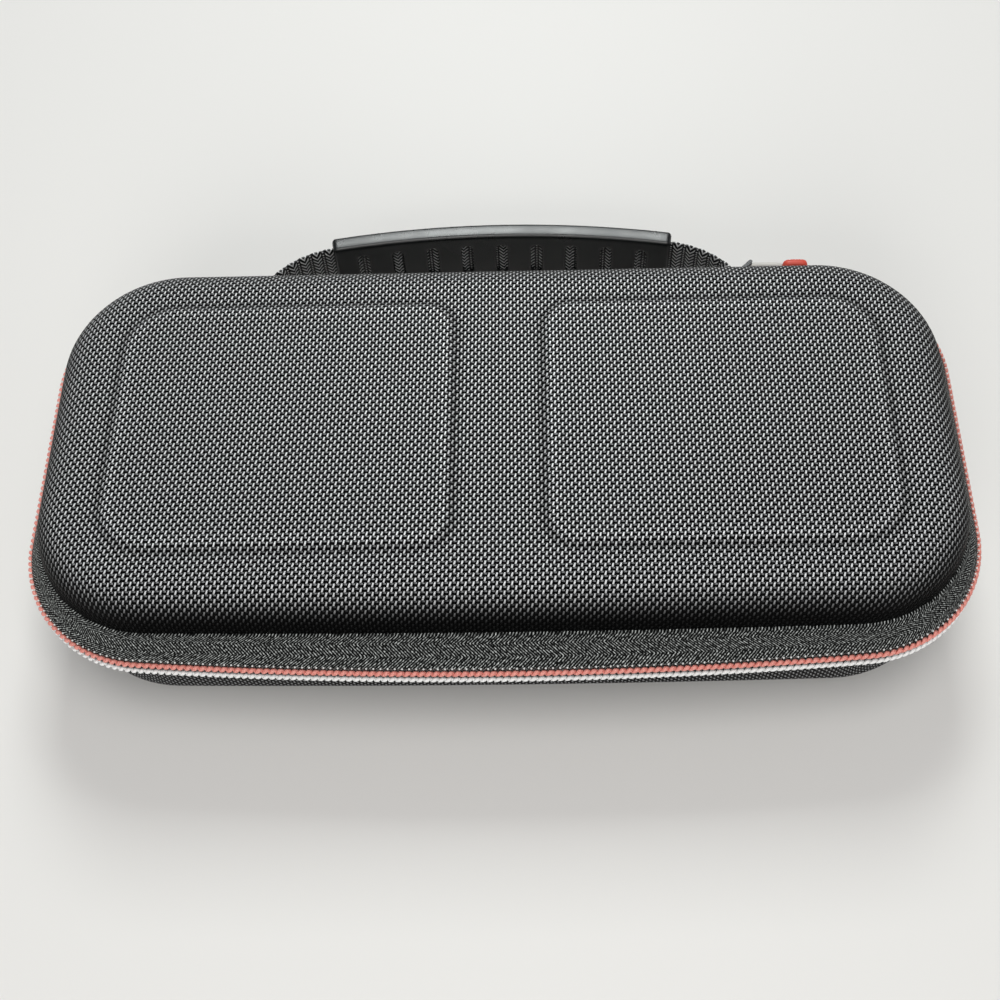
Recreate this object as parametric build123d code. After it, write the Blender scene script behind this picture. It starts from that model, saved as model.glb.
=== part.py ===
from build123d import *
import os
from math import cos, radians, sin, tan

# Zip-round travel case for a handheld game console, lying flat on its base.
# Millimetres and degrees. X runs along the case, +Y to the hinge and handle at
# the back, +Z up. The origin is in the middle of the base, on the table.

# Zip line, seen from above
zip_length = 270.0
zip_width = 127.0
front_bow = 7.0
zip_corner = 38.0
zip_height = 36.0

# Shells: their rims stand inside the zip line, above and below it
rim_inset = 4.5
rim_bow = 1.5
rim_corner = 35.0
rim_rise = 8.5
shell_wall = 4.0
lid_rise = 21.0
lid_draft = 8.0
lid_edge = 12.0
lid_edge_share = 0.95
base_draft = 2.0
base_edge = 6.0
base_edge_share = 0.5
hollow_bevel = 0.6

# Raised panels on the lid
panel_gap = 23.4
panel_end_margin = 7.0
panel_side_margin = 5.0
panel_rise = 1.2
panel_border = 3.5
panel_outer_corner = 16.0
panel_inner_corner = 10.0

# Zip tapes and coils
tape_thickness = 1.0
tape_lip = 3.2
chain_half = 3.6
tape_gap = 0.8
coil_thickness = 1.5
coil_height = 2.8
coil_gap = 0.5

# Hinge strip at the back, end stops and slider
zip_end = 68.0
stop_length = 3.2
stop_height = 2.7
stop_proud = 0.2
bead_radius = 2.2
bead_play = 0.3
bead_seat = 0.05
slider_length = 10.0
slider_plate = 1.2
slider_play = 0.25
slider_end_gap = 1.0
slider_travel = 16.0
slider_top = 2.6
slider_foot = 6.2
slider_inner_foot = 3.2
slider_room = 3.6
post_length = 3.0
post_end_gap = 1.5
post_height = 0.7
bridge_span = 6.1
bridge_bar = 0.9
bridge_width = 2.0
bridge_clear = 2.2

# Zip pull: wire loop, strap and tip
pull_drop = 4.6
pull_wire = 1.2
pull_arm = 6.0
pull_lean = 6.0
pull_hole_play = 0.05
strap_thickness = 2.2
strap_length = 11.9
strap_width = 5.6
strap_lead = 1.4
strap_nose = 1.0
pull_side_play = 0.2
tip_length = 8.0
tip_thickness = 3.2
tip_width = 7.4
tip_round = 1.1

# Handle: webbing sewn to the base's back wall, with a moulded grip on it
webbing_width = 20.0
webbing_thickness = 2.4
webbing_below_rim = 0.9
webbing_wall_gap = 0.3
webbing_tail = 14.0
handle_reach = 32.6
grip_length = 113.0
grip_half_angle = 10.0
strap_angle = 70.0
knee_radius = 32.0
root_radius = 5.0
grip_skin = 1.6
grip_lip = 2.0
grip_play = 0.1
grip_round = 1.2
slot_count = 9
slot_pitch = 11.75
slot_width = 3.6
slot_height = 14.0
patch_length = 17.0
patch_cover = 1.6
patch_round = 1.0
patch_border = 0.5

# Inside: console tray of a pad and four strips, divider flap with card pockets, mesh pocket in the lid
tray_play = 0.25
tray_rim_gap = 1.5
console_end_room = 31.0
console_side_room = 25.0
console_play = 0.6
console_corner = 16.0
console_depth = 15.0
scoop_radius = 15.0
scoop_offset = 62.0
scoop_depth = 9.0
flap_thickness = 5.0
flap_margin = 6.0
flap_corner = 20.0
flap_round = 1.6
flap_tape_length = 190.0
flap_tape_thickness = 0.8
flap_tape_gap = 0.3
pocket_columns = 5
pocket_rows = 2
pocket_length = 40.0
pocket_width = 36.0
pocket_pitch = 44.0
pocket_row_pitch = 43.0
pocket_thickness = 1.4
pocket_corner = 4.0
mesh_thickness = 1.0
mesh_rise = 1.0
mesh_play = 1.2
mesh_mouth = 25.0
elastic_height = 1.8
elastic_width = 4.0

# Worked out from the values above
hinge_y = zip_width / 2
lid_rim_z = zip_height + rim_rise
base_rim_z = zip_height - rim_rise
lid_wall_height = lid_rise - rim_rise
lid_round = min(lid_edge, lid_edge_share * lid_wall_height)
base_bevel = min(base_edge, base_edge_share * base_rim_z)
rim_half_length = zip_length / 2 - rim_inset
rim_half_width = zip_width / 2 - rim_inset
console_length = zip_length - console_end_room
console_width = zip_width - console_side_room
slider_start = zip_end + slider_end_gap
slider_x = slider_start + slider_length / 2
slider_mouth = slider_start + slider_length + slider_travel + slider_end_gap


def outline(length, width, bow, corner):
    """Rounded outline with a straight back and a front that bows outwards."""
    x, y = length / 2, width / 2
    sides = [
        ThreePointArc((-x, -y), (0, -y - bow), (x, -y)),
        Line((x, -y), (x, y)),
        Line((x, y), (-x, y)),
        Line((-x, y), (-x, -y)),
    ]
    face = make_face(sides)
    return fillet(face.vertices(), corner)


def zip_line(inset):
    """The zip's outline, moved inwards."""
    return outline(zip_length - 2 * inset, zip_width - 2 * inset, front_bow, zip_corner - inset)


def rim_line(inset):
    """The shells' rim outline, moved inwards."""
    return outline(2 * (rim_half_length - inset), 2 * (rim_half_width - inset), rim_bow, rim_corner - inset)


def box_between(low, high):
    """A box from its lowest to its highest corner."""
    size = [b - a for a, b in zip(low, high)]
    middle = [(a + b) / 2 for a, b in zip(low, high)]
    return Pos(*middle) * Box(*size)


def bar_along_x(x_low, x_high, radius):
    """A round bar on the hinge axis."""
    middle = Pos((x_low + x_high) / 2, hinge_y, zip_height)
    return middle * Rot(0, 90, 0) * Cylinder(radius, x_high - x_low)


def drafted_block(inset, height, draft):
    """A block on the rim outline with drafted walls."""
    return extrude(rim_line(inset), amount=height, taper=draft)


def top_edges(block):
    """The edges round a block's top face."""
    return block.faces().sort_by(Axis.Z)[-1].edges()


def moulded_hollow(inset, height, draft, edge):
    """The inner form of a shell, upturned: a block with a bevelled top edge."""
    return chamfer(top_edges(drafted_block(inset, height, draft)), edge)


def lid_flat_inset():
    """How far the lid's flat top starts inside its rim."""
    half_turn = radians(90 - lid_draft) / 2
    return lid_wall_height * tan(radians(lid_draft)) + lid_round * tan(half_turn)


def panel_outline(inset):
    """The outline of the right-hand raised panel, moved inwards."""
    low = panel_gap / 2 + inset
    high = rim_half_length - lid_flat_inset() - panel_end_margin - inset
    half = rim_half_width - lid_flat_inset() - panel_side_margin - inset
    face = Pos((low + high) / 2, 0) * Rectangle(high - low, 2 * half)
    face = fillet(face.vertices().group_by(Axis.X)[-1], panel_outer_corner - inset)
    inner = face.vertices().group_by(Axis.X)[0]
    return fillet(inner, panel_inner_corner - inset)


def raised_panel():
    """A plateau with a sloped border."""
    foot = panel_outline(0)
    crown = Pos(0, 0, panel_rise) * panel_outline(panel_border)
    return loft([foot.face(), crown.face()], ruled=True)


def upper_shell():
    """Moulded lid: a hollow bowl with two raised panels."""
    shell = fillet(top_edges(drafted_block(0, lid_wall_height, lid_draft)), lid_round)
    panel = Pos(0, 0, lid_wall_height) * raised_panel()
    shell = shell + panel + mirror(panel, about=Plane.YZ)
    inner_height = lid_wall_height - shell_wall
    shell = shell - moulded_hollow(shell_wall, inner_height, lid_draft, hollow_bevel * inner_height)
    return Pos(0, 0, lid_rim_z) * shell


def hung_from_base_rim(upturned):
    """Turns an upturned form over, so that it hangs from the base's rim."""
    return Pos(0, 0, base_rim_z) * mirror(upturned, about=Plane.XY)


def base_outer():
    """The base's outer form: drafted walls and a bevelled foot."""
    block = drafted_block(0, base_rim_z, base_draft)
    return hung_from_base_rim(chamfer(top_edges(block), base_bevel))


def base_hollow(inset):
    """The base's inner form, moved inwards: upright walls and a bevelled floor edge."""
    height = base_rim_z - shell_wall
    return hung_from_base_rim(moulded_hollow(inset, height, 0, hollow_bevel * shell_wall))


def lower_shell():
    """Moulded base: a hollow bowl with a flat foot."""
    return base_outer() - base_hollow(shell_wall)


def flared_block(inset, top):
    """A block whose walls slope from the coils' inner side in to the rim outline."""
    low = Pos(0, 0, chain_half) * zip_line(coil_thickness + inset)
    high = Pos(0, 0, top) * rim_line(inset)
    return loft([low.face(), high.face()], ruled=True)


def flared_tape():
    """Upper zip tape about the zip's middle: lip under the rim, slope, and flap behind the coil."""
    slope = flared_block(0, rim_rise)
    under = flared_block(tape_thickness, rim_rise - tape_thickness)
    flap = extrude(zip_line(coil_thickness), amount=chain_half)
    flap = flap - extrude(zip_line(coil_thickness + tape_thickness), amount=chain_half)
    flap = flap - extrude(zip_line(0), amount=tape_gap)
    mouth = extrude(rim_line(tape_lip), amount=2 * rim_rise)
    return slope - under - mouth + flap


def upper_zip_tape():
    """Herringbone tape on the lid, cut clear of the hinge strip and the slider."""
    tape = Pos(0, 0, zip_height) * flared_tape()
    hinge_end = zip_end - stop_length
    tape = tape - bar_along_x(-zip_end, hinge_end, bead_radius + bead_play)
    return tape - bar_along_x(hinge_end, slider_mouth, slider_room)


def lower_zip_tape():
    """Herringbone tape on the base, cut to seat the hinge strip."""
    tape = Pos(0, 0, zip_height) * mirror(flared_tape(), about=Plane.XY)
    hinge_end = zip_end - stop_length
    return tape - bar_along_x(-hinge_end, hinge_end, bead_radius + bead_seat)


def coil_band(back_low, back_high):
    """One zip coil about the zip's middle, open between two places on the back."""
    band = extrude(zip_line(0), amount=coil_height) - extrude(zip_line(coil_thickness), amount=coil_height)
    reach = 2 * coil_height
    gap = box_between((back_low, hinge_y - reach, -reach), (back_high, hinge_y + reach, reach))
    return Pos(0, 0, coil_gap) * (band - gap)


def upper_zip_coil():
    """Coil on the lid's tape, which ends clear of the slider's travel."""
    return Pos(0, 0, zip_height) * coil_band(-zip_end, slider_mouth)


def lower_zip_coil():
    """Coil on the base's tape."""
    return Pos(0, 0, zip_height) * mirror(coil_band(-zip_end, zip_end), about=Plane.XY)


def zip_end_stops():
    """Clamped stops at the two ends of the lower coil."""
    top = zip_height - chain_half + stop_height
    low = (zip_end - stop_length, hinge_y - coil_thickness, zip_height - chain_half)
    stop = box_between(low, (zip_end, hinge_y + stop_proud, top))
    return Compound(children=[stop, mirror(stop, about=Plane.YZ)])


def hinge_strip():
    """Sewn strip that the lid turns on."""
    hinge_end = zip_end - stop_length - bead_play
    return bar_along_x(-hinge_end, hinge_end, bead_radius)


def zip_slider():
    """Slider with an outer and an inner plate, the post between them and the pull's bridge."""
    x_low, x_high = slider_start, slider_start + slider_length
    outer_y = hinge_y + slider_play
    inner_y = hinge_y - coil_thickness - tape_thickness - slider_play
    top = zip_height + slider_top
    outer = box_between(
        (x_low, outer_y, zip_height - slider_foot), (x_high, outer_y + slider_plate, top)
    )
    inner = box_between(
        (x_low, inner_y - slider_plate, zip_height - slider_inner_foot), (x_high, inner_y, top)
    )
    post = box_between(
        (x_high - post_end_gap - post_length, inner_y, zip_height - post_height / 2),
        (x_high - post_end_gap, outer_y, zip_height + post_height / 2),
    )
    outer = fillet(outer.edges().filter_by(Axis.Y), slider_plate)
    plate_y = outer_y + slider_plate
    bridge_z = zip_height - pull_drop
    arch_low = (slider_x - bridge_span / 2, plate_y, bridge_z - bridge_width / 2)
    crown_y = plate_y + bridge_clear + bridge_bar
    arch_high = (slider_x + bridge_span / 2, crown_y, bridge_z + bridge_width / 2)
    arch = box_between(arch_low, arch_high)
    crown = arch.edges().filter_by(Axis.Z).group_by(Axis.Y)[-1]
    arch = fillet(crown, bridge_bar)
    window = Pos(0, -bridge_bar / 2) * Rectangle(bridge_span - 2 * bridge_bar, bridge_clear)
    window = extrude(window, amount=bridge_width, both=True)
    arch = arch - Pos(slider_x, plate_y + (bridge_clear + bridge_bar) / 2, bridge_z) * window
    return outer + inner + post + arch


def pull_pivot():
    """Where the pull's wire lies in the slider's bridge, seen from above."""
    return slider_x, hinge_y + slider_play + slider_plate + bridge_clear / 2


def pull_eye():
    """Where the wire passes through the strap, seen from above."""
    x, y = pull_pivot()
    return x + pull_arm, y + pull_lean


def pull_loop():
    """Wire loop: a bar in the bridge, two arms and a bar through the strap."""
    z = zip_height - pull_drop
    near, far = Vector(*pull_pivot()), Vector(*pull_eye())
    arm_run = far - near
    half_inside = strap_width / 2 + pull_side_play
    full_width = 2 * (half_inside + pull_wire)
    bars = [Pos(p.X, p.Y, z) * Cylinder(pull_wire / 2, full_width) for p in (near, far)]
    middle = (near + far) / 2
    turn = Vector(1, 0).get_angle(arm_run)
    arm = Pos(middle.X, middle.Y) * Rot(0, 0, turn) * SlotCenterToCenter(arm_run.length, pull_wire)
    arm = extrude(arm, amount=pull_wire)
    arms = [Pos(0, 0, z + half_inside) * arm, Pos(0, 0, z - half_inside - pull_wire) * arm]
    return bars[0] + bars[1] + arms[0] + arms[1]


def pull_strap():
    """Short strap with an eye for the wire."""
    x, y = pull_eye()
    z = zip_height - pull_drop
    low = (x - strap_lead, y - strap_thickness / 2, z - strap_width / 2)
    high = (x - strap_lead + strap_length, y + strap_thickness / 2, z + strap_width / 2)
    strap = box_between(low, high)
    nose = strap.edges().filter_by(Axis.Z).group_by(Axis.X)[0]
    strap = fillet(nose, strap_nose)
    eye = Pos(x, y, z) * Cylinder(pull_wire / 2 + pull_hole_play, 2 * strap_width)
    return strap - eye


def pull_tip():
    """Moulded block on the strap's end."""
    x, y = pull_eye()
    z = zip_height - pull_drop
    start = x - strap_lead + strap_length
    low = (start, y - tip_thickness / 2, z - tip_width / 2)
    tip = box_between(low, (start + tip_length, y + tip_thickness / 2, z + tip_width / 2))
    return chamfer(tip.edges(), tip_round)


def webbing_wall_y():
    """Middle of the webbing where it lies on the base's back wall."""
    return rim_half_width + webbing_wall_gap + webbing_thickness / 2


def webbing_mid_z():
    """Height of the webbing's middle."""
    return base_rim_z - webbing_below_rim - webbing_width / 2


def grip_centre():
    """Radius and centre of the grip's arc."""
    radius = grip_length / 2 / radians(grip_half_angle)
    return radius, webbing_wall_y() + handle_reach - radius


def grip_arc():
    """Right half of the grip's middle line, from its crown outwards."""
    radius, centre_y = grip_centre()
    crown = (0, centre_y + radius)
    return JernArc(start=crown, tangent=(1, 0), radius=radius, arc_size=-grip_half_angle)


def webbing_path():
    """Right half of the webbing's middle line: grip arc, knee, free stretch, root bend, sewn tail."""
    grip = grip_arc()
    knee = JernArc(grip @ 1, grip % 1, knee_radius, grip_half_angle - strap_angle)
    bend_drop = root_radius * (1 - cos(radians(strap_angle)))
    run = ((knee @ 1).Y - webbing_wall_y() - bend_drop) / sin(radians(strap_angle))
    free = PolarLine(knee @ 1, run, direction=knee % 1)
    root = JernArc(free @ 1, free % 1, root_radius, strap_angle)
    tail = Line(root @ 1, root @ 1 + Vector(webbing_tail, 0))
    return [grip, knee, free, root, tail]


def band_along(path, thickness, height):
    """A band of one thickness along a middle line and its mirror image, standing on its edge."""
    half = trace(path, thickness)
    face = half + mirror(half, about=Plane.YZ)
    return Pos(0, 0, webbing_mid_z() - height / 2) * extrude(face, amount=height)


def handle_webbing():
    """Woven handle strap with both tails sewn flat to the back wall."""
    return band_along(webbing_path(), webbing_thickness, webbing_width)


def grip_slot(angle):
    """An oblong cutter across the grip, turned about the centre of its arc."""
    radius, centre_y = grip_centre()
    reach = webbing_thickness + 4 * grip_skin
    slot = Rot(90, 0, 0) * Rectangle(slot_width, slot_height)
    slot = extrude(slot, amount=reach, both=True)
    return Pos(0, centre_y, webbing_mid_z()) * Rot(0, 0, angle) * Pos(0, radius, 0) * slot


def grip_sweep(profile):
    """A profile of the grip, turned along its arc."""
    radius, centre_y = grip_centre()
    section = Plane.YZ * (Pos(radius, 0) * profile)
    start = Rot(0, 0, -grip_half_angle) * section
    turned = revolve(start, axis=Axis.Z, revolution_arc=2 * grip_half_angle)
    return Pos(0, centre_y, webbing_mid_z()) * turned


def handle_grip():
    """Moulded grip around the webbing, with a row of slots that show it."""
    outer_size = (webbing_thickness + 2 * grip_skin, webbing_width + 2 * grip_lip)
    inner_size = (webbing_thickness + 2 * grip_play, webbing_width + 2 * grip_play)
    section = chamfer(Rectangle(*outer_size).vertices(), grip_round)
    sleeve = grip_sweep(section) - grip_sweep(Rectangle(*inner_size))
    step = slot_pitch * grip_half_angle / (grip_length / 2)
    for index in range(slot_count):
        sleeve = sleeve - grip_slot((index - (slot_count - 1) / 2) * step)
    return sleeve


def handle_patch():
    """Moulded patch over the webbing's right-hand tail, seated on the back wall."""
    tail_start = (webbing_path()[-1] @ 0).X
    height = webbing_width + 2 * patch_border
    low_y = rim_half_width - 2 * shell_wall
    high_y = webbing_wall_y() + webbing_thickness / 2 + patch_cover
    low = (tail_start, low_y, webbing_mid_z() - height / 2)
    patch = box_between(low, (tail_start + patch_length, high_y, webbing_mid_z() + height / 2))
    rim = patch.faces().sort_by(Axis.Y)[-1].edges()
    patch = chamfer(rim, patch_round)
    patch = patch - base_outer() - handle_webbing()
    return patch.solids().sort_by(Axis.Y)[-1]


def recess_half_size():
    """Half the length and half the width of the console's recess."""
    return console_length / 2 + console_play, console_width / 2 + console_play


def tray_bed():
    """Foam bed that fills the base, with the console's recess and finger scoops."""
    inset = shell_wall + tray_play
    top = base_rim_z - tray_rim_gap
    above = Pos(0, 0, top + base_rim_z) * Box(2 * zip_length, 2 * zip_width, 2 * base_rim_z)
    bed = base_hollow(inset) - above
    half_length, half_width = recess_half_size()
    recess = RectangleRounded(2 * half_length, 2 * half_width, console_corner)
    bed = bed - Pos(0, 0, top - console_depth) * extrude(recess, amount=2 * console_depth)
    scoop = Rot(90, 0, 0) * Cylinder(scoop_radius, zip_width)
    scoop = Pos(0, 0, top - scoop_depth + scoop_radius) * scoop
    return bed - Pos(scoop_offset, 0) * scoop - Pos(-scoop_offset, 0) * scoop


def tray_pieces():
    """The bed as it is glued up: a floor pad, two end strips and two long strips, mitred at their ends."""
    bed = tray_bed()
    floor_z = base_rim_z - tray_rim_gap - console_depth
    pad = box_between((-zip_length, -zip_width, 0), (zip_length, zip_width, floor_z))
    strips = bed - pad
    half_length, half_width = recess_half_size()
    mitre = Polygon((0, 0), (zip_length, -zip_length), (zip_length, zip_length), align=None)
    right_end = Pos(half_length - half_width, 0) * extrude(mitre, amount=zip_height)
    left_end = mirror(right_end, about=Plane.YZ)
    long_strips = (strips - right_end - left_end).solids().sort_by(Axis.Y)
    return {
        "tray_floor": bed & pad,
        "tray_right_strip": strips & right_end,
        "tray_left_strip": strips & left_end,
        "tray_front_strip": long_strips[0],
        "tray_back_strip": long_strips[-1],
    }


def flap_size():
    """Length, width and lowest height of the divider flap."""
    length = 2 * (rim_half_length - shell_wall - flap_margin)
    width = 2 * (rim_half_width - shell_wall - flap_margin / 2)
    return length, width, lid_rim_z - flap_thickness


def divider_flap():
    """Padded leaf that closes the lid, over the mesh pocket."""
    length, width, z = flap_size()
    leaf = extrude(RectangleRounded(length, width, flap_corner), amount=flap_thickness)
    face = leaf.faces().sort_by(Axis.Z)[0]
    return Pos(0, 0, z) * chamfer(face.edges(), flap_round)


def flap_tape():
    """Sewn tape that joins the flap's back edge to the lid's rim."""
    _, width, _ = flap_size()
    high_y = rim_half_width - tape_lip - flap_tape_gap
    low = (-flap_tape_length / 2, width / 2, lid_rim_z - flap_tape_thickness)
    return box_between(low, (flap_tape_length / 2, high_y, lid_rim_z))


def card_pockets():
    """Rows of flat card pockets sewn to the flap's lower face."""
    _, _, z = flap_size()
    outline_face = chamfer(Rectangle(pocket_length, pocket_width).vertices(), pocket_corner)
    pad = extrude(outline_face, amount=-pocket_thickness)
    places = GridLocations(pocket_pitch, pocket_row_pitch, pocket_columns, pocket_rows)
    return Compound(children=[Pos(0, 0, z) * place * pad for place in places])


def mesh_pocket():
    """Mesh sheet stretched across the lid, open along its front edge."""
    sheet = extrude(rim_line(shell_wall + mesh_play), amount=mesh_thickness)
    front = box_between((-zip_length, -zip_width, -zip_height), (zip_length, -mesh_mouth, zip_height))
    return Pos(0, 0, lid_rim_z + mesh_rise) * (sheet - front)


def mesh_elastic():
    """Elastic hem on the mesh pocket's mouth."""
    half = rim_half_length - shell_wall - mesh_play
    middle = lid_rim_z + mesh_rise + mesh_thickness / 2
    low = (-half, -mesh_mouth - elastic_width, middle - elastic_height / 2)
    return box_between(low, (half, -mesh_mouth, middle + elastic_height / 2))


right_patch = handle_patch()
pieces = {
    "upper_shell": upper_shell(),
    "lower_shell": lower_shell(),
    "upper_zip_tape": upper_zip_tape(),
    "lower_zip_tape": lower_zip_tape(),
    "upper_zip_coil": upper_zip_coil(),
    "lower_zip_coil": lower_zip_coil(),
    "zip_end_stops": zip_end_stops(),
    "hinge_strip": hinge_strip(),
    "zip_slider": zip_slider(),
    "pull_loop": pull_loop(),
    "pull_strap": pull_strap(),
    "pull_tip": pull_tip(),
    "handle_webbing": handle_webbing(),
    "handle_grip": handle_grip(),
    "right_handle_patch": right_patch,
    "left_handle_patch": mirror(right_patch, about=Plane.YZ),
    **tray_pieces(),
    "divider_flap": divider_flap(),
    "flap_tape": flap_tape(),
    "card_pockets": card_pockets(),
    "mesh_pocket": mesh_pocket(),
    "mesh_elastic": mesh_elastic(),
}

os.makedirs("parts", exist_ok=True)
for node, shape in pieces.items():
    export_step(shape, f"parts/{node}.step")
print(len(pieces), "pieces written")
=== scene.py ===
# %% [markdown]
# # A zip-round travel case for a handheld console
# The real case is two moulded foam shells under woven nylon, a flared zip between them, and a webbing
# handle with a slotted grip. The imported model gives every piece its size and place: each step reads the
# boxes of the pieces it dresses, and works out a finer surface in the same frame.

import bmesh
import bpy
import numpy as np
from mathutils import Matrix, Vector


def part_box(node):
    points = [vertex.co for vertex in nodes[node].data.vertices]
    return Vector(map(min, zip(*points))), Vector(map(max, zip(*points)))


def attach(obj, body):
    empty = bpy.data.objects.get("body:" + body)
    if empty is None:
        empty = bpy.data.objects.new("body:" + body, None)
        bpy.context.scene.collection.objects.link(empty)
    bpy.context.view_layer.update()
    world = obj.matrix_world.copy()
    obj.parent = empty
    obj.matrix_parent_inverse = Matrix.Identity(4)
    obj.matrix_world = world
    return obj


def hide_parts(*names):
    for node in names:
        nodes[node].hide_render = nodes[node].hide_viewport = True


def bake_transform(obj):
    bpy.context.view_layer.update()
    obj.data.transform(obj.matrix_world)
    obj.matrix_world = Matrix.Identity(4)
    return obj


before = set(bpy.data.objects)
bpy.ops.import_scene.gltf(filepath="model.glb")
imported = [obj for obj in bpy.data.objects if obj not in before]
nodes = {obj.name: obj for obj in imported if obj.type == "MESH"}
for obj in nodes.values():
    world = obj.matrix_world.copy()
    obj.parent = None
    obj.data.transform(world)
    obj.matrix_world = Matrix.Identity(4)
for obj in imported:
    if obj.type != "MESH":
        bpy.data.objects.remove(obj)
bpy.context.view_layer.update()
mm = 0.001
print("pieces in the frame:", len(nodes))

# %% [markdown]
# ## From arrays to meshes
# Every surface in this lesson is a grid of points worked out as whole arrays. One helper turns a grid
# into faces, closing it on itself where the shape goes round, and another joins a few grids into one
# piece. Welding their shared edges afterwards keeps the shells closed, and one call turns all faces
# outwards.


# %% Grid helpers
weld = 1e-6


def grid(rows, columns):
    """Two rows of values spread over a grid, the first along it and the second across it."""
    return np.meshgrid(rows, columns, indexing="ij")


def surface(points, wrap=(False, False), uv=None, caps=(False, False)):
    """A grid of points as (points, faces, a UV pair per face corner). A wrapped side closes on itself, and
    caps close the first or last ring of a tube whose columns go round."""
    rows, columns = points.shape[:2]
    if uv is None:
        uv = np.zeros((rows + 1, columns + 1, 2))
    i, j = grid(np.arange(rows - (not wrap[0])), np.arange(columns - (not wrap[1])))
    i = np.stack([i, i + 1, i + 1, i], -1).reshape(-1, 4)
    j = np.stack([j, j, j + 1, j + 1], -1).reshape(-1, 4)
    faces = ((i % rows) * columns + j % columns).tolist()
    corners = uv[i, j].reshape(-1, 2)
    rim = np.arange(columns)
    for wanted, row, ring in zip(caps, (0, rows - 1), (rim[::-1], rim)):
        if wanted:
            faces.append((ring + row * columns).tolist())
            corners = np.concatenate([corners, uv[row, ring]])
    return points.reshape(-1, 3), faces, corners


def build(name, *surfaces, sharp=50, outwards=True):
    """Joins grids into one smooth mesh piece, welds shared edges and turns the faces outwards."""
    points, faces, corners = [], [], []
    first = 0
    for part_points, part_faces, part_corners in surfaces:
        points.append(part_points)
        faces += [[first + k for k in face] for face in part_faces]
        corners.append(part_corners)
        first += len(part_points)
    mesh = bpy.data.meshes.new(name)
    mesh.from_pydata(np.concatenate(points).tolist(), [], faces)
    mesh.uv_layers.new(name="cloth").data.foreach_set("uv", np.concatenate(corners).ravel())
    edit = bmesh.new()
    edit.from_mesh(mesh)
    bmesh.ops.remove_doubles(edit, verts=edit.verts, dist=weld)
    if outwards:
        bmesh.ops.recalc_face_normals(edit, faces=edit.faces)
    edit.to_mesh(mesh)
    edit.free()
    mesh.polygons.foreach_set("use_smooth", np.ones(len(mesh.polygons), bool))
    mesh.set_sharp_from_angle(angle=np.radians(sharp))
    piece = bpy.data.objects.new(name, mesh)
    bpy.context.scene.collection.objects.link(piece)
    print(name, len(mesh.polygons), "faces")
    return piece


def dress(piece, material, body, slot, *stands_for):
    """Gives a piece its finish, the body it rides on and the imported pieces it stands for."""
    piece.data.materials.append(material)
    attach(piece, body)
    if stands_for:
        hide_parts(*stands_for)
    return piece


def corners_of(node):
    """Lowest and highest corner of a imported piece."""
    low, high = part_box(node)
    return np.array(low), np.array(high)


def steps(*stops_and_counts):
    """Sample places: stops with the number of steps between them, as stop, count, stop, count, stop."""
    stops, counts = stops_and_counts[::2], stops_and_counts[1::2]
    runs = [np.linspace(a, b, n, endpoint=False) for a, b, n in zip(stops, stops[1:], counts)]
    return np.concatenate([*runs, stops[-1:]])


def ease(t):
    """Smooth step from 0 to 1."""
    t = np.clip(t, 0, 1)
    return t * t * (3 - 2 * t)


def bell(distance, width):
    """A bell curve: 1 at no distance, and close to nothing two widths away."""
    return np.exp(-((distance / width) ** 2))


def travel(points):
    """Length along a row of points, from 0 at the first."""
    return np.concatenate([[0], np.cumsum(np.linalg.norm(np.diff(points, axis=0), axis=1))])


def ring_of(count):
    """Angles once round a ring, without the last."""
    return np.linspace(0, 2 * np.pi, count, endpoint=False)


def squared(angle, power):
    """Cosine and sine drawn out towards a square: a ring becomes a superellipse."""
    return [np.sign(wave) * np.abs(wave) ** power for wave in (np.cos(angle), np.sin(angle))]


# %% [markdown]
# ## Finishes as node groups
# Nylon and linings are threads that pass over and under each other, so the plain weave is one node group
# that these finishes place with their own thread counts. A second group holds a fine grain, which every
# finish uses. Both read the piece's own UV map or place, so a pattern follows the cloth. A few short
# functions add and link nodes, because a long row of node lines hides what a finish does.


# %% Node helpers
def add(tree, kind, **values):
    """A node of that kind, with input values by socket name or number."""
    made = tree.nodes.new(kind)
    for key, value in values.items():
        if hasattr(made, key):
            setattr(made, key, value)
        else:
            put(tree, made.inputs[key.replace("_", " ")], value)
    return made


def put(tree, socket, value):
    """Links an output to a socket, or sets its value."""
    if isinstance(value, bpy.types.NodeSocket):
        tree.links.new(value, socket)
    else:
        socket.default_value = value


def maths(tree, operation, *values):
    """A Math node's result."""
    made = tree.nodes.new("ShaderNodeMath")
    made.operation = operation
    for socket, value in zip(made.inputs, values):
        put(tree, socket, value)
    return made.outputs[0]


def times(tree, first, *others):
    """A product of two or more values."""
    for other in others:
        first = maths(tree, "MULTIPLY", first, other)
    return first


def wave_along(tree, place, period):
    """The sine of a place, with its period in metres."""
    return maths(tree, "SINE", times(tree, place, 2 * np.pi / period))


def ramp(tree, factor, low, high, to_low=0.0, to_high=1.0):
    """A value spread from one range to another, with a smooth start and end."""
    made = add(tree, "ShaderNodeMapRange", interpolation_type="SMOOTHSTEP", Value=factor)
    made.inputs["From Min"].default_value = low
    made.inputs["From Max"].default_value = high
    made.inputs["To Min"].default_value = to_low
    made.inputs["To Max"].default_value = to_high
    return made.outputs[0]


def blend_colour(tree, factor, first, second):
    """A colour between two others."""
    made = tree.nodes.new("ShaderNodeMix")
    made.data_type = "RGBA"
    put(tree, made.inputs[0], factor)
    put(tree, made.inputs[6], first)
    put(tree, made.inputs[7], second)
    return made.outputs[2]


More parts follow.
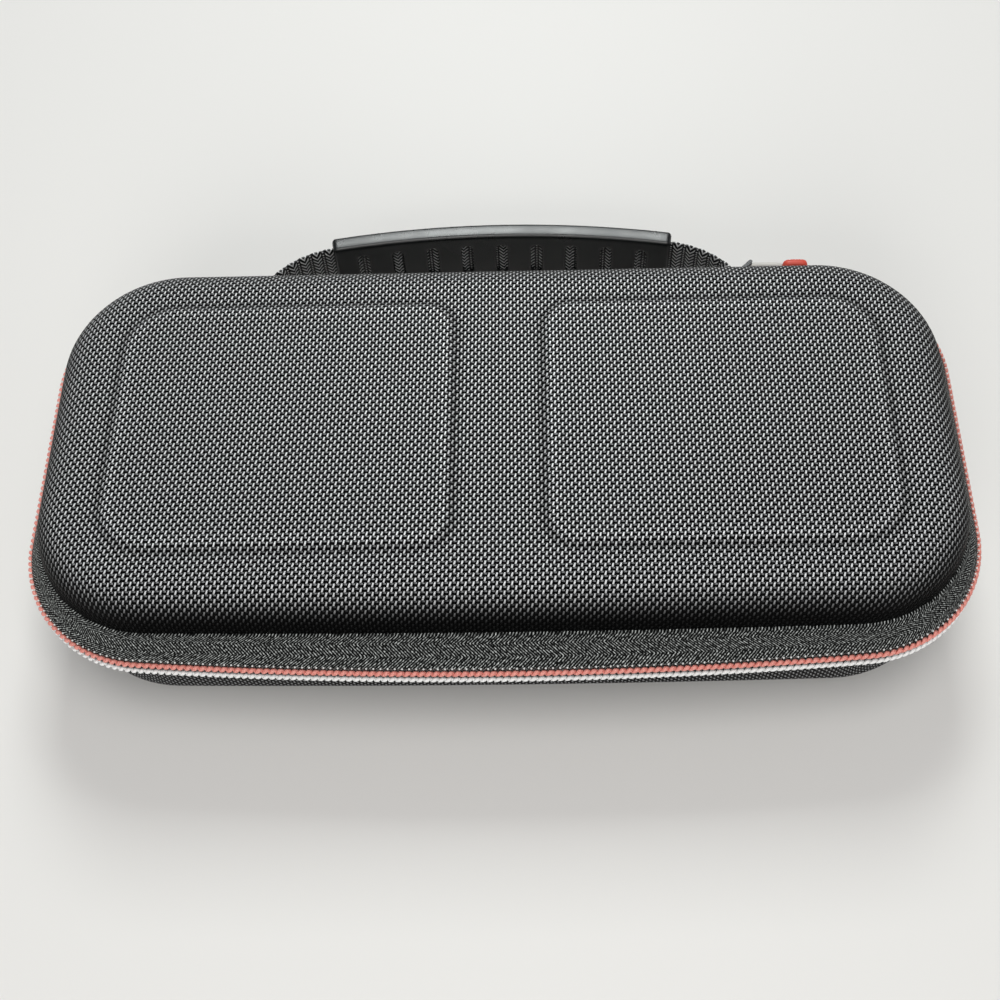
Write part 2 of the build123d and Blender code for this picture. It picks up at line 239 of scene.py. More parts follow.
def start_group(name, inputs, outputs):
    """An empty node group with named sockets: its tree, input sockets and output sockets."""
    tree = bpy.data.node_groups.new(name, "ShaderNodeTree")
    for key, value in inputs.items():
        kind = "NodeSocketVector" if value is None else "NodeSocketFloat"
        socket = tree.interface.new_socket(key, in_out="INPUT", socket_type=kind)
        if value is not None:
            socket.default_value = value
    for key in outputs:
        tree.interface.new_socket(key, in_out="OUTPUT", socket_type="NodeSocketFloat")
    return tree, tree.nodes.new("NodeGroupInput").outputs, tree.nodes.new("NodeGroupOutput").inputs


def place_group(tree, group, **values):
    """Places a group in a material with its own values."""
    made = tree.nodes.new("ShaderNodeGroup")
    made.node_tree = group
    for key, value in values.items():
        put(tree, made.inputs[key], value)
    return made.outputs


def start_finish(name, roughness, specular=0.5, sheen=0.0):
    """A material with its shader and plain values: the material, its tree and the shader's inputs."""
    material = bpy.data.materials.new(name)
    material.use_nodes = True
    shader = material.node_tree.nodes["Principled BSDF"]
    shader.inputs["Roughness"].default_value = roughness
    shader.inputs["Specular IOR Level"].default_value = specular
    shader.inputs["Sheen Weight"].default_value = sheen
    return material, material.node_tree, shader.inputs


def cloth_map(tree):
    """The piece's own UV map, and its two halves: along the cloth and across it."""
    uv = add(tree, "ShaderNodeUVMap", uv_map="cloth").outputs[0]
    return uv, add(tree, "ShaderNodeSeparateXYZ", Vector=uv).outputs


def own_place(tree):
    """A point's place in the piece."""
    return add(tree, "ShaderNodeTexCoord").outputs["Object"]


def bump(tree, inputs, height, distance):
    """Raises the surface's normal by a height, with its full height as a distance in metres."""
    made = add(tree, "ShaderNodeBump", Height=height, Strength=1.0, Distance=distance)
    tree.links.new(made.outputs[0], inputs["Normal"])


# %% Plain weave group
weave_inputs = {"Cloth": None, "Warp": 900.0, "Weft": 740.0, "Wander": 0.1}
weave_outputs = ["Height", "Over", "Tone", "Line", "Arm"]
weave, source, target = start_group("plain_weave", weave_inputs, weave_outputs)
wander_noise = add(weave, "ShaderNodeTexNoise", noise_dimensions="2D", Vector=source["Cloth"], Scale=220.0)
split = add(weave, "ShaderNodeSeparateXYZ", Vector=source["Cloth"])
shift = times(weave, maths(weave, "SUBTRACT", wander_noise.outputs["Fac"], 0.5), source["Wander"])
u = maths(weave, "MULTIPLY_ADD", split.outputs[0], source["Warp"], shift)
v = maths(weave, "MULTIPLY_ADD", split.outputs[1], source["Weft"], shift)
warp_yarn, weft_yarn = maths(weave, "FLOOR", u), maths(weave, "FLOOR", v)


def from_middle(place):
    """How far a place lies from the middle of its yarn, in yarns."""
    return maths(weave, "SUBTRACT", maths(weave, "FRACT", place), 0.5)


def yarn_round(place):
    """How high a round yarn stands across its width, from 0 at its sides to 1 at its middle."""
    across = times(weave, from_middle(place), 2.0)
    return maths(weave, "SUBTRACT", 1.0, times(weave, across, across))


def yarn_wave(place, yarn, offset):
    """The cosine by which a yarn goes over and under the others, turned round from one yarn to the next."""
    turn = maths(weave, "ADD", maths(weave, "ADD", place, yarn), offset)
    return maths(weave, "COSINE", times(weave, turn, np.pi))


warp_wave, weft_wave = yarn_wave(v, warp_yarn, -0.5), yarn_wave(u, weft_yarn, 0.5)
yarn_roundness, line_slant, arm_place = 0.75, -0.3, 0.26
warp_height = maths(weave, "MULTIPLY_ADD", yarn_round(u), yarn_roundness, warp_wave)
weft_height = maths(weave, "MULTIPLY_ADD", yarn_round(v), yarn_roundness, weft_wave)
top = maths(weave, "MAXIMUM", warp_height, weft_height)

# Painted highlights: a bright line runs aslant on each warp crest, and an arm of light lies beside the middle
# of each weft crest.
slanted = maths(weave, "ABSOLUTE", maths(weave, "MULTIPLY_ADD", from_middle(v), line_slant, from_middle(u)))
line = times(weave, ramp(weave, slanted, 0.3, 0.14), ramp(weave, warp_wave, -0.25, 0.3))
raised = maths(weave, "ABSOLUTE", maths(weave, "SUBTRACT", from_middle(v), arm_place))
arm = times(weave, ramp(weave, raised, 0.23, 0.06), ramp(weave, weft_wave, -0.3, 0.4))
arm = times(weave, arm, ramp(weave, from_middle(u), -0.45, 0.3, 0.1, 1.0))
put(weave, target["Height"], times(weave, top, 0.5))
put(weave, target["Over"], ramp(weave, maths(weave, "SUBTRACT", warp_height, weft_height), -0.2, 0.2))
put(weave, target["Tone"], ramp(weave, top, 0.35, 1.6))
put(weave, target["Line"], line)
put(weave, target["Arm"], arm)
print("plain_weave nodes:", len(weave.nodes))

# %% Fine grain group
grain, source, target = start_group("fine_grain", {"Place": None, "Scale": 900.0}, ["Height", "Tone"])
fine = add(grain, "ShaderNodeTexNoise", Vector=source["Place"], Scale=source["Scale"], Detail=3.0)
broad = add(grain, "ShaderNodeTexNoise", Vector=source["Place"], Scale=35.0, Detail=4.0)
put(grain, target["Height"], fine.outputs["Fac"])
put(grain, target["Tone"], ramp(grain, broad.outputs["Fac"], 0.3, 0.7))
print("fine_grain nodes:", len(grain.nodes))

# %% [markdown]
# ## The outline that everything follows
# Seen from above, both shells and both zip tapes have one kind of outline: straight back and sides, a
# front that bows outwards, and round corners. It could be traced, but arcs and lines need only five
# sizes. The front row and the back row are kept apart, because straight lines between them fill the
# inside of a shell.


# %% Front and back rows of an outline
def front_row(half, back, bow, corner, turn, along):
    """From the left side round the front to the right side, as points and outward directions. The front is
    an arc through a middle that stands out by the bow. A corner's centre lies one corner radius inside the
    side line and inside that arc."""
    radius = (half**2 + bow**2) / (2 * bow)
    arc_y = radius - back - bow
    side_x = half - corner
    side_y = arc_y - np.sqrt((radius - corner) ** 2 - side_x**2)
    tilt = np.arctan2(side_y - arc_y, side_x)
    left = np.pi - tilt * turn[:-1]
    middle = np.pi - tilt + (np.pi + 2 * tilt) * along[:-1]
    right = tilt * (1 - turn)
    angle = np.concatenate([left, middle, right])
    out = np.stack([np.cos(angle), np.sin(angle)], -1)
    sizes = [len(left), len(middle), len(right)]
    centre = np.repeat([[-side_x, side_y], [0, arc_y], [side_x, side_y]], sizes, axis=0)
    reach = np.repeat([corner, radius, corner], sizes)[:, None]
    return centre + reach * out, out


def back_row(half, back, corner, turn, along):
    """From the left side round the straight back to the right side, as points and outward directions."""
    side_x = half - corner
    left = np.pi - np.pi / 2 * turn[:-1]
    right = np.pi / 2 * (1 - turn)
    angle = np.concatenate([left, np.full(len(along) - 1, np.pi / 2), right])
    out = np.stack([np.cos(angle), np.sin(angle)], -1)
    middle = side_x * (2 * along[:-1] - 1)
    x = np.concatenate([np.full(len(left), -side_x), middle, np.full(len(turn), side_x)])
    centre = np.stack([x, np.full(len(x), back - corner)], -1)
    return centre + corner * out, out


def closed_loop(front, back, side):
    """Front row, right side, back row and left side as one closed loop."""
    right = front[-1] + (back[-1] - front[-1]) * side[1:-1, None]
    left = back[0] + (front[0] - back[0]) * side[1:-1, None]
    return np.concatenate([front, right, back[::-1], left])


def outline(half, back, bow, corner, lines):
    """Front row, back row and closed loop of an outline, each as points and outward directions."""
    along, turn, side = lines
    front = front_row(half, back, bow, corner, turn, along)
    rear = back_row(half, back, corner, turn, along)
    loop = [closed_loop(first, second, side) for first, second in zip(front, rear)]
    return front, rear, loop


def filled(front, rear, spread, side):
    """Plan points inside an outline that is spread outwards: straight mixes of its front and back rows."""
    low, high = front[0] + spread * front[1], rear[0] + spread * rear[1]
    return low + (high - low) * side[:, None, None]


def raise_to(plan, z):
    """Plan points with a height."""
    return np.concatenate([plan, np.broadcast_to(np.asarray(z)[..., None], plan.shape[:-1] + (1,))], -1)


# %% Sizes of the shells and the zip
coil_low, coil_high = corners_of("lower_zip_coil")
red_low, red_high = corners_of("upper_zip_coil")
lid_low, lid_high = corners_of("upper_shell")
_, base_high = corners_of("lower_shell")
zip_half, hinge_y = coil_high[0], coil_high[1]
zip_bow = -coil_low[1] - hinge_y
zip_corner = 38 * mm
zip_z = (red_low[2] + coil_high[2]) / 2
rim_half, rim_back = lid_high[0], lid_high[1]
rim_bow = -lid_low[1] - rim_back
rim_corner = 35 * mm
lid_rim_z, base_rim_z = lid_low[2], base_high[2]
print("zip line", 2 * zip_half, "m long, rim", 2 * rim_half, "m long")

# %% [markdown]
# ## Woven nylon over a moulded shell
# Ballistic nylon is thick, shiny black yarn in a plain weave, and its crests catch the light as bright
# dashes. A quarter of a million crossings would be far too many faces, so the yarn is a bump, the dashes
# are painted highlights in its colour, and a coat on the dashes alone gives them their shine. The painted
# highlights fade down the walls: painted shade. The UV map is in metres: it lies flat on the top and
# unrolls down the walls, so the yarn bends over the edge.


# %% Nylon finish
def nylon_finish():
    """Black yarn with painted highlights: each weft crest grey along its back, each warp crest with a bright
    slanted line. Painted shade dims both: they fade as a power of the height down the lid's wall, rise to the
    rim on the base's, and the painted light and shade at the panels' borders lifts or lowers them."""
    material, tree, inputs = start_finish("woven_nylon", 0.45, 0.04)
    uv, _ = cloth_map(tree)
    height = add(tree, "ShaderNodeSeparateXYZ", Vector=own_place(tree)).outputs[2]
    yarn = place_group(tree, weave, Cloth=uv, Warp=970.0, Weft=820.0, Wander=0.35)
    fibre = place_group(tree, grain, Place=uv, Scale=4000.0)
    # Painted light and shade at the panels' borders, read from the lid's points.
    panel_light_and_shade = add(tree, "ShaderNodeAttribute", attribute_name="panel_light_and_shade").outputs["Fac"]
    # Painted shade: the highlights fade down the lid's wall and are dimmer on the base, and slack carries
    # this shade.
    up_wall = ramp(tree, height, lid_rim_z + 3 * mm, lid_high[2] - 1 * mm, 0.16, 1.0)
    lid_painted_shade = maths(tree, "POWER", up_wall, 2.5)
    base_painted_shade = ramp(tree, height, zip_z, base_rim_z, 0.0, 0.45)
    either = maths(tree, "MAXIMUM", lid_painted_shade, base_painted_shade)
    slack = times(tree, either, maths(tree, "ADD", panel_light_and_shade, 1.0))
    uneven = times(tree, ramp(tree, fibre["Height"], 0.3, 0.7, 0.45, 1.0), slack)
    # Painted highlights in the base colour: grey arms on the weft crests and bright slanted lines on the warp
    # crests.
    weft = times(tree, yarn["Arm"], uneven, slack)
    warp = times(tree, yarn["Line"], uneven)
    # The grey and the bright are painted highlight colours; the black is the yarn's own.
    black, grey, bright = (0.0005, 0.0005, 0.0006, 1), (0.42, 0.425, 0.43, 1), (0.92, 0.93, 0.94, 1)
    cloth = blend_colour(tree, weft, black, grey)
    put(tree, inputs["Base Color"], blend_colour(tree, warp, cloth, bright))
    put(tree, inputs["Roughness"], ramp(tree, yarn["Over"], 0.0, 1.0, 0.5, 0.36))
    put(tree, inputs["Coat Weight"], warp)
    inputs["Coat IOR"].default_value = 1.8
    inputs["Coat Roughness"].default_value = 0.42
    bump(tree, inputs, yarn["Height"], 0.5 * mm)
    return material


woven_nylon = nylon_finish()
print(woven_nylon.name)


# %% Shell surfaces
def bowl_profile(height, draft, edge, edge_steps):
    """A shell's outer section, from its flat out and down to its rim: how far out, how far down and the
    length along it. The edge is an arc, and the wall below leans out by the draft."""
    turn = np.radians(90 - draft)
    angle = np.linspace(0, turn, edge_steps)
    reach = height * np.tan(np.radians(draft)) + edge * np.tan(turn / 2)
    wall = np.linspace(0, 1, 6)[1:]
    arc_out, arc_down = edge * np.sin(angle), edge * (1 - np.cos(angle))
    out = np.concatenate([arc_out, arc_out[-1] + (reach - arc_out[-1]) * wall])
    down = np.concatenate([arc_down, arc_down[-1] + (height - arc_down[-1]) * wall])
    return out, down, travel(np.stack([out, down], -1)), reach


def shell_surfaces(sizes, flat_z, up, profile, lines, relief=None):
    """A closed shell as grids: the flat with its relief, a wall all round it, and a plain flat at the wall's
    end. The profile gives the wall's way out, its way down and its length."""
    out, down, length = profile
    front, rear, (loop, facing) = outline(*sizes, lines)
    flats = []
    for spread, z, shape in ((0, flat_z, relief), (out[-1], flat_z - up * down[-1], None)):
        plan = filled(front, rear, spread, lines[2])
        rise = shape(plan[..., 0], plan[..., 1]) if shape else np.zeros(plan.shape[:2])
        flats.append(surface(raise_to(plan, z + up * rise), uv=plan))
    wall = raise_to(loop[:, None] + out[:, None] * facing[:, None], flat_z - up * down)
    unrolled = loop[:, None] + length[:, None] * facing[:, None]
    unrolled = np.concatenate([unrolled, unrolled[:1]])
    return [*flats, surface(wall, wrap=(True, False), uv=unrolled)]


def bowl_surfaces(flat_z, up, bowl, lining, lines, relief=None):
    """A shell on the rim outline: the bowl's outer section, then the lining's places inside the rim and
    their way down."""
    out, down, _, reach = bowl
    inside, below = lining
    sizes = rim_half - reach, rim_back - reach, rim_bow, rim_corner - reach
    out, down = np.concatenate([out, reach - inside]), np.concatenate([down, below])
    profile = out, down, travel(np.stack([out, down], -1))
    return shell_surfaces(sizes, flat_z, up, profile, lines, relief)


# %% [markdown]
# ## The lid with its two raised panels
# The lid's cloth is pressed over two flat pads with sloping borders. The rise is a function of the
# distance inside a rounded rectangle, and the grid has its lines close together at the borders and wide
# apart on the flats, so the panels are real geometry with few faces.

# %% Lid shell
panel_rise, panel_border = 1.2 * mm, 3.5 * mm
panel_gap = 23.4 * mm
# Width of the painted bands, the painted light on the panels' shoulders and the painted shade at their feet.
mark_width, shoulder_light, foot_shade = 1.3 * mm, 0.25, 0.32
panel_outer_corner, panel_inner_corner = 16 * mm, 10 * mm
panel_end_margin, panel_side_margin = 7 * mm, 5 * mm
lid_draft, lid_edge_share = 8.0, 0.95
lid_top_z = lid_high[2] - panel_rise
lid_height = lid_top_z - lid_rim_z
lid_edge = lid_edge_share * lid_height
lid_bowl = bowl_profile(lid_height, lid_draft, lid_edge, 16)
lid_reach = lid_bowl[3]
panel_low, panel_high = panel_gap / 2, rim_half - lid_reach - panel_end_margin
panel_half = rim_back - lid_reach - panel_side_margin


def rounded_box_depth(x, y, half_x, half_y, corner):
    """How far a point lies inside a rounded rectangle."""
    dx, dy = np.abs(x) - (half_x - corner), np.abs(y) - (half_y - corner)
    outside = np.hypot(np.maximum(dx, 0), np.maximum(dy, 0)) + np.minimum(np.maximum(dx, dy), 0)
    return corner - outside


def panel_depth(x, y):
    """How far a point lies inside the nearer panel's outline."""
    middle = (panel_low + panel_high) / 2
    along = np.abs(x) - middle
    corner = np.where(along > 0, panel_outer_corner, panel_inner_corner)
    return rounded_box_depth(along, y, (panel_high - panel_low) / 2, panel_half, corner)


def panel_relief(x, y):
    """Rise of the panels, eased over the border."""
    return panel_rise * ease(panel_depth(x, y) / panel_border)


def paint_panel_shading(piece):
    """Painted light and shade on the cloth, which its finish reads: a painted highlight along each panel's
    shoulder and painted shade at its foot. Each is a bell curve across the border."""
    places = np.empty(3 * len(piece.data.vertices), np.float32)
    piece.data.vertices.foreach_get("co", places)
    x, y, _ = places.reshape(-1, 3).T
    depth = panel_depth(x, y)
    shoulder, foot = bell(depth - panel_border, mark_width), bell(depth - mark_width / 2, mark_width)
    # Painted light on the panels' shoulders and painted shade at their feet, stored on the points.
    painted_layer = piece.data.attributes.new("panel_light_and_shade", "FLOAT", "POINT")
    panel_light_and_shade = shoulder_light * shoulder - foot_shade * foot
    painted_layer.data.foreach_set("value", panel_light_and_shade.astype(np.float32))


def lid_columns():
    """Places along the flat's straight stretch, close together at the panels' inner borders."""
    reach = rim_half - rim_corner
    slope = panel_low + panel_border
    half = steps(0, 6, panel_low, 9, slope, 10, slope + panel_inner_corner, 20, reach) / reach
    return np.concatenate([-half[:0:-1], half]) / 2 + 0.5


def mirrored(half):
    """Places from 0 to a half, and the same again back to front up to 1."""
    return np.concatenate([half, 1 - half[-2::-1]])


def lid_sides():
    """Places from the front row to the back row, close together at the panels' long borders."""
    edge = panel_side_margin / (2 * (panel_half + panel_side_margin))
    border = edge + panel_border / (2 * (panel_half + panel_side_margin))
    return mirrored(steps(0, 4, edge, 9, border, 16, 0.28, 8, 0.5))


lid_turn = steps(0, 14, 0.45, 18, 0.75, 6, 1)
lid_inner = (
    np.array([1.2, 2.6, 4.0, 4.2, 4.5, 6.5, 9.6, 10.5]) * mm,
    lid_height - np.array([-0.2, -0.2, 0.1, 1.5, 3.4, 6.0, 8.2, 8.5]) * mm,
)
lid_lines = lid_columns(), lid_turn, lid_sides()
lid_parts = bowl_surfaces(lid_top_z, 1, lid_bowl, lid_inner, lid_lines, panel_relief)
lid_shell = build("lid_shell", *lid_parts)
paint_panel_shading(lid_shell)
dress(lid_shell, woven_nylon, "lid", "shell_fabric", "upper_shell")

# %% [markdown]
# ## The base shell
# The base is the same kind of bowl, upside down and deeper, with a flat foot. The same function makes it
# with its height turned over and no relief, and with wider spaced lines because nothing is raised on it.

# %% Base shell
base_draft, base_edge = 2.0, 6.9 * mm
base_inner = (
    np.array([1.2, 2.6, 4.0, 4.0, 4.1, 6.4]) * mm,
    base_rim_z - np.array([-0.2, -0.2, 0.1, 8.0, 21.1, 23.5]) * mm,
)
base_bowl = bowl_profile(base_rim_z, base_draft, base_edge, 12)
base_lines = np.linspace(0, 1, 41), np.linspace(0, 1, 19), np.linspace(0, 1, 25)
base_parts = bowl_surfaces(0.0, -1, base_bowl, base_inner, base_lines)
base_shell = build("base_shell", *base_parts)
dress(base_shell, woven_nylon, "base", "shell_fabric", "lower_shell")

# %% [markdown]
# ## Herringbone zip tapes
# A zip's tape is woven in a herringbone: fine twill lines that change direction along bands. The tape
# flares from under each rim out to the coils, so its surface is a straight mix of the rim's outline and
# the zip's. The UV map runs along the zip and across the tape, and the chevrons are drawn in it.


# %% Tape finish
def tape_finish():
    """Twill lines whose slant turns over from band to band, over dark thread with a few bright fibres."""
    band_start, band_width, twill_slope, twill_pitch = 0.4 * mm, 2.6 * mm, 1.5, 0.95 * mm
    material, tree, inputs = start_finish("herringbone_tape", 0.55, 0.12)
    uv, split = cloth_map(tree)
    fibre = place_group(tree, grain, Place=uv, Scale=1700.0)
    band = maths(tree, "PINGPONG", maths(tree, "ADD", split[1], band_start), band_width)
    slant = maths(tree, "MULTIPLY_ADD", band, twill_slope, split[0])
    line = wave_along(tree, slant, twill_pitch)
    height = maths(tree, "MULTIPLY_ADD", fibre["Height"], 4.5, times(tree, line, 0.8))
    bright = maths(tree, "POWER", ramp(tree, height, 1.9, 4.0), 1.8)
    colour = blend_colour(tree, bright, (0.001, 0.0012, 0.0012, 1), (0.86, 0.9, 0.87, 1))
    put(tree, inputs["Base Color"], colour)
    put(tree, inputs["Roughness"], ramp(tree, fibre["Height"], 0.2, 0.8, 0.7, 0.45))
    bump(tree, inputs, height, 0.16 * mm)
    return material


herringbone_tape = tape_finish()
print(herringbone_tape.name)

# %% Loops of the zip and the rim
zip_lines = np.linspace(0, 1, 121), np.linspace(0, 1, 33), np.linspace(0, 1, 41)
zip_line, zip_out = outline(zip_half, hinge_y, zip_bow, zip_corner, zip_lines)[2]
rim_line, rim_out = outline(rim_half, rim_back, rim_bow, rim_corner, zip_lines)[2]
zip_run = travel(np.vstack([zip_line, zip_line[:1]]))
print("once round the zip:", round(zip_run[-1], 4), "m")

# %% Tape surfaces
tape_high, tape_low = lid_rim_z - zip_z, 3.6 * mm
coil_depth = 1.5 * mm
tape_thickness, tape_tuck, tape_crown, tape_gap = 0.9 * mm, 1.6 * mm, 0.35 * mm, 0.8 * mm
left_end, right_end, red_end = -68 * mm, 68 * mm, 96 * mm


def flared_tape(up):
    """The sloping tape, closed all round: its outer face swells a little between the rim and the coils, and
    its inner face lies one thickness inside."""
    outer = np.linspace(0, 1, 12)
    mix = np.concatenate([outer, np.linspace(1, 0, 5)])
    inside = np.concatenate([np.zeros(12), np.full(5, tape_thickness)])
    swell = np.concatenate([np.sin(np.pi * outer) * tape_crown, np.zeros(5)])
    tuck = np.where(mix == 0, tape_tuck, 0) + inside
    low = (rim_line[:, None] - tuck[:, None] * rim_out[:, None]) * (1 - mix[:, None])
    high = (zip_line[:, None] - (coil_depth + inside)[:, None] * zip_out[:, None]) * mix[:, None]
    z = zip_z + up * (tape_high + (tape_low - tape_high) * mix + swell - 0.5 * inside)
    across = np.concatenate([np.linspace(0, 7, 12), np.linspace(7, 14, 6)]) * mm
    uv = np.stack(grid(zip_run, across), -1)
    return surface(raise_to(low + high, z), wrap=(True, True), uv=uv)


def stretch(left_x, right_x, count):
    """Points along the zip from a place left on the back, round the front, to a place right on the back,
    with their outward directions and their lengths along it."""
    rear = zip_line[:, 1] > hinge_y - weld
    start, end = np.interp([-left_x, -right_x], -zip_line[rear, 0], zip_run[:-1][rear])
    places = np.linspace(start, end + zip_run[-1], count)
    line, out = np.vstack([zip_line, zip_line[:1]]), np.vstack([zip_out, zip_out[:1]])
    wrapped = places % zip_run[-1]
    points = np.stack([np.interp(wrapped, zip_run, line[:, k]) for k in (0, 1)], -1)
    facing = np.stack([np.interp(wrapped, zip_run, out[:, k]) for k in (0, 1)], -1)
    return points, facing / np.linalg.norm(facing, axis=1)[:, None], places


def tape_flap(up, left_x, right_x):
    """The tape's edge behind the coil, a thin band that stands on the coil's inner side."""
    points, out, places = stretch(left_x, right_x, 700)
    inset = np.array([0, 0, 1, 1]) * tape_thickness + coil_depth
    rise = np.array([tape_gap, tape_low, tape_low, tape_gap])
    plan = points[:, None] - inset[:, None] * out[:, None]
    uv = np.stack(grid(places, np.array([7, 10, 11, 14, 15]) * mm), -1)
    return surface(raise_to(plan, zip_z + up * rise), wrap=(False, True), uv=uv, caps=(True, True))


upper_tape = build("upper_tape", flared_tape(1), tape_flap(1, left_end, red_end))
dress(upper_tape, herringbone_tape, "lid", "tape_fabric", "upper_zip_tape")
lower_tape = build("lower_tape", flared_tape(-1), tape_flap(-1, left_end, right_end))
dress(lower_tape, herringbone_tape, "base", "tape_fabric", "lower_zip_tape")

# %% [markdown]
# ## Wound coils, one red and one white
# Each half of a coil zip is one plastic filament wound round and round and sewn to its tape. A curve with
# a bevel would do it too, but the winding is easy to write down: the filament's middle turns about a line
# that follows the zip, and a flattened ring is swept along it. The turns are real, so they cast shadows.


# %% Coil finishes
def filament_finish(name, colour, shade):
    """Smooth dyed plastic, slightly uneven in tone along its length."""
    material, tree, inputs = start_finish(name, 0.38, 0.5)
    tone = place_group(tree, grain, Place=own_place(tree), Scale=2600.0)
    uneven = ramp(tree, tone["Height"], 0.25, 0.75)
    put(tree, inputs["Base Color"], blend_colour(tree, uneven, shade, colour))
    put(tree, inputs["Roughness"], ramp(tree, tone["Tone"], 0.0, 1.0, 0.34, 0.48))
    bump(tree, inputs, tone["Height"], 0.03 * mm)
    return material


coil_red = filament_finish("red_filament", (0.86, 0.38, 0.32, 1), (0.7, 0.2, 0.16, 1))
coil_white = filament_finish("white_filament", (0.95, 0.95, 0.94, 1), (0.88, 0.88, 0.87, 1))
print(coil_red.name, coil_white.name)

# %% Coil shapes
coil_pitch, turn_steps = 1.93 * mm, 12
wire_high, wire_along = 0.42 * mm, 0.66 * mm
coil_half, coil_slack = (coil_high[2] - coil_low[2]) / 2, 0.35 * mm


def coil_turns(left_x, right_x):
    """How many turns fit between two places on the back, the long way round."""
    start, end = stretch(left_x, right_x, 2)[2]
    return round((end - start) / coil_pitch)


def coil(left_x, right_x, middle_z):
    """A filament wound about the zip line: its middle goes round a flat oval once in each pitch. The ring
    that is swept along it is wide along the zip and thin across it."""
    turns = coil_turns(left_x, right_x)
    points, out, _ = stretch(left_x, right_x, turn_steps * turns + 1)
    angle = np.linspace(0, 2 * np.pi * turns, len(points))
    in_out, up_down = coil_depth / 2 - wire_high, coil_half - wire_high - coil_slack
    plan = points + (in_out * np.cos(angle) - coil_depth / 2)[:, None] * out
    middle = raise_to(plan, middle_z + up_down * np.sin(angle))
    lift = np.concatenate([out * np.cos(angle)[:, None], np.sin(angle)[:, None]], -1)
    run = np.gradient(middle, axis=0)
    run /= np.linalg.norm(run, axis=1)[:, None]
    side = np.cross(run, lift)
    side /= np.linalg.norm(side, axis=1)[:, None]
    lift = np.cross(side, run)
    ring = ring_of(6)
    tube = middle[:, None] + wire_high * np.cos(ring)[:, None] * lift[:, None]
    tube = tube + wire_along * np.sin(ring)[:, None] * side[:, None]
    return surface(tube, wrap=(False, True), caps=(True, True))


red_z, white_z = (red_low[2] + red_high[2]) / 2, (coil_low[2] + coil_high[2]) / 2
red_coil = build("red_coil", coil(left_end, red_end, red_z), sharp=80)
dress(red_coil, coil_red, "lid", "coil_red", "upper_zip_coil")
white_coil = build("white_coil", coil(left_end, right_end, white_z), sharp=80)
dress(white_coil, coil_white, "base", "coil_white", "lower_zip_coil")

# %% [markdown]
# ## Stitches
# White thread holds the coil to its tape, and shows as a row of dots above the red coil. Each stitch is a
# small spindle: a ring whose radius swells and shrinks along a short line. One function places any number
# of them, and a later step uses it for the seams of the handle's patches.


# %% Rows of stitches
def islands(points, wrap, uv=None):
    """The same grid many times over, as one set of points and faces."""
    count, size = len(points), points.shape[1] * points.shape[2]
    _, faces, corners = surface(points[0], wrap, uv)
    faces = [[first + k for k in face] for first in range(0, count * size, size) for face in faces]
    return points.reshape(-1, 3), faces, np.tile(corners, (count, 1))


def spindles(starts, ends, radius, lift):
    """Stitches from starts to ends: rings about a straight line whose radius follows a half circle."""
    t = np.linspace(0.02, 0.98, 6)
    swell = np.sqrt(1 - (2 * t - 1) ** 2)
    run = ends - starts
    length = np.linalg.norm(run, axis=1, keepdims=True)
    side = np.cross(run / length, lift)
    ring = ring_of(6)
    middle = starts[:, None] + run[:, None] * t[:, None]
    around = np.cos(ring)[:, None] * lift[:, None] + np.sin(ring)[:, None] * side[:, None]
    return islands(middle[:, :, None] + radius * swell[:, None, None] * around[:, None], (False, True))


thread_white = filament_finish("white_thread", (0.8, 0.8, 0.78, 1), (0.6, 0.6, 0.58, 1))
thread_black = filament_finish("black_thread", (0.05, 0.05, 0.053, 1), (0.012, 0.012, 0.013, 1))


dot_inset, dot_rise, dot_half = 1.25 * mm, 0.45 * mm, 0.3 * mm


def zip_stitches(up, left_x, right_x):
    """A dot of thread for each turn of the coil, on the tape's edge."""
    count = coil_turns(left_x, right_x)
    points, out, _ = stretch(left_x, right_x, count)
    run = np.concatenate([np.stack([-out[:, 1], out[:, 0]], -1), np.zeros((count, 1))], -1)
    middle = raise_to(points - dot_inset * out, zip_z + up * (tape_low + dot_rise))
    lift = np.concatenate([out * 0.6, np.full((count, 1), 0.8 * up)], -1)
    return spindles(middle - dot_half * run, middle + dot_half * run, dot_half, lift)


upper_stitches = build("upper_zip_stitches", zip_stitches(1, left_end, red_end))
dress(upper_stitches, thread_white, "lid", "tape_fabric")

# %% [markdown]
# ## The webbing of the handle
# The handle is a flat woven strap that stands on its edge, bows out behind the case and is sewn down at
# both ends. A curve could be drawn by hand, but the strap's length and bends are known: its heading
# changes evenly in each bend, and summed headings give the places. Cross ribs, one wide and one narrow by
# turns, are raised on both faces and scallop its edges, and the finish draws the yarn between them as
# chevrons and dots of painted highlight on black.

# %% Line of the strap
strap_low, strap_high = corners_of("handle_webbing")
grip_low, grip_high = corners_of("handle_grip")
webbing_thickness = 2.4 * mm
crown_y, wall_y = strap_high[1] - webbing_thickness / 2, strap_low[1] + webbing_thickness / 2
strap_mid_z, strap_half = (strap_low[2] + strap_high[2]) / 2, (strap_high[2] - strap_low[2]) / 2
grip_half, grip_turn, strap_turn = 56.5 * mm, np.radians(10), np.radians(70)
grip_radius, knee_radius, root_radius = grip_half / grip_turn, 32 * mm, 5 * mm
tail_length = 14 * mm
fall = grip_radius * (1 - np.cos(grip_turn)) + root_radius * (1 - np.cos(strap_turn))
fall += knee_radius * (np.cos(grip_turn) - np.cos(strap_turn))
free_length = (crown_y - wall_y - fall) / np.sin(strap_turn)
knee_length, root_length = knee_radius * (strap_turn - grip_turn), root_radius * strap_turn
knots = np.cumsum([0, grip_half, knee_length, free_length, root_length, tail_length])
headings = -np.array([0, grip_turn, strap_turn, strap_turn, 0, 0])
strap_reach = knots[-1]


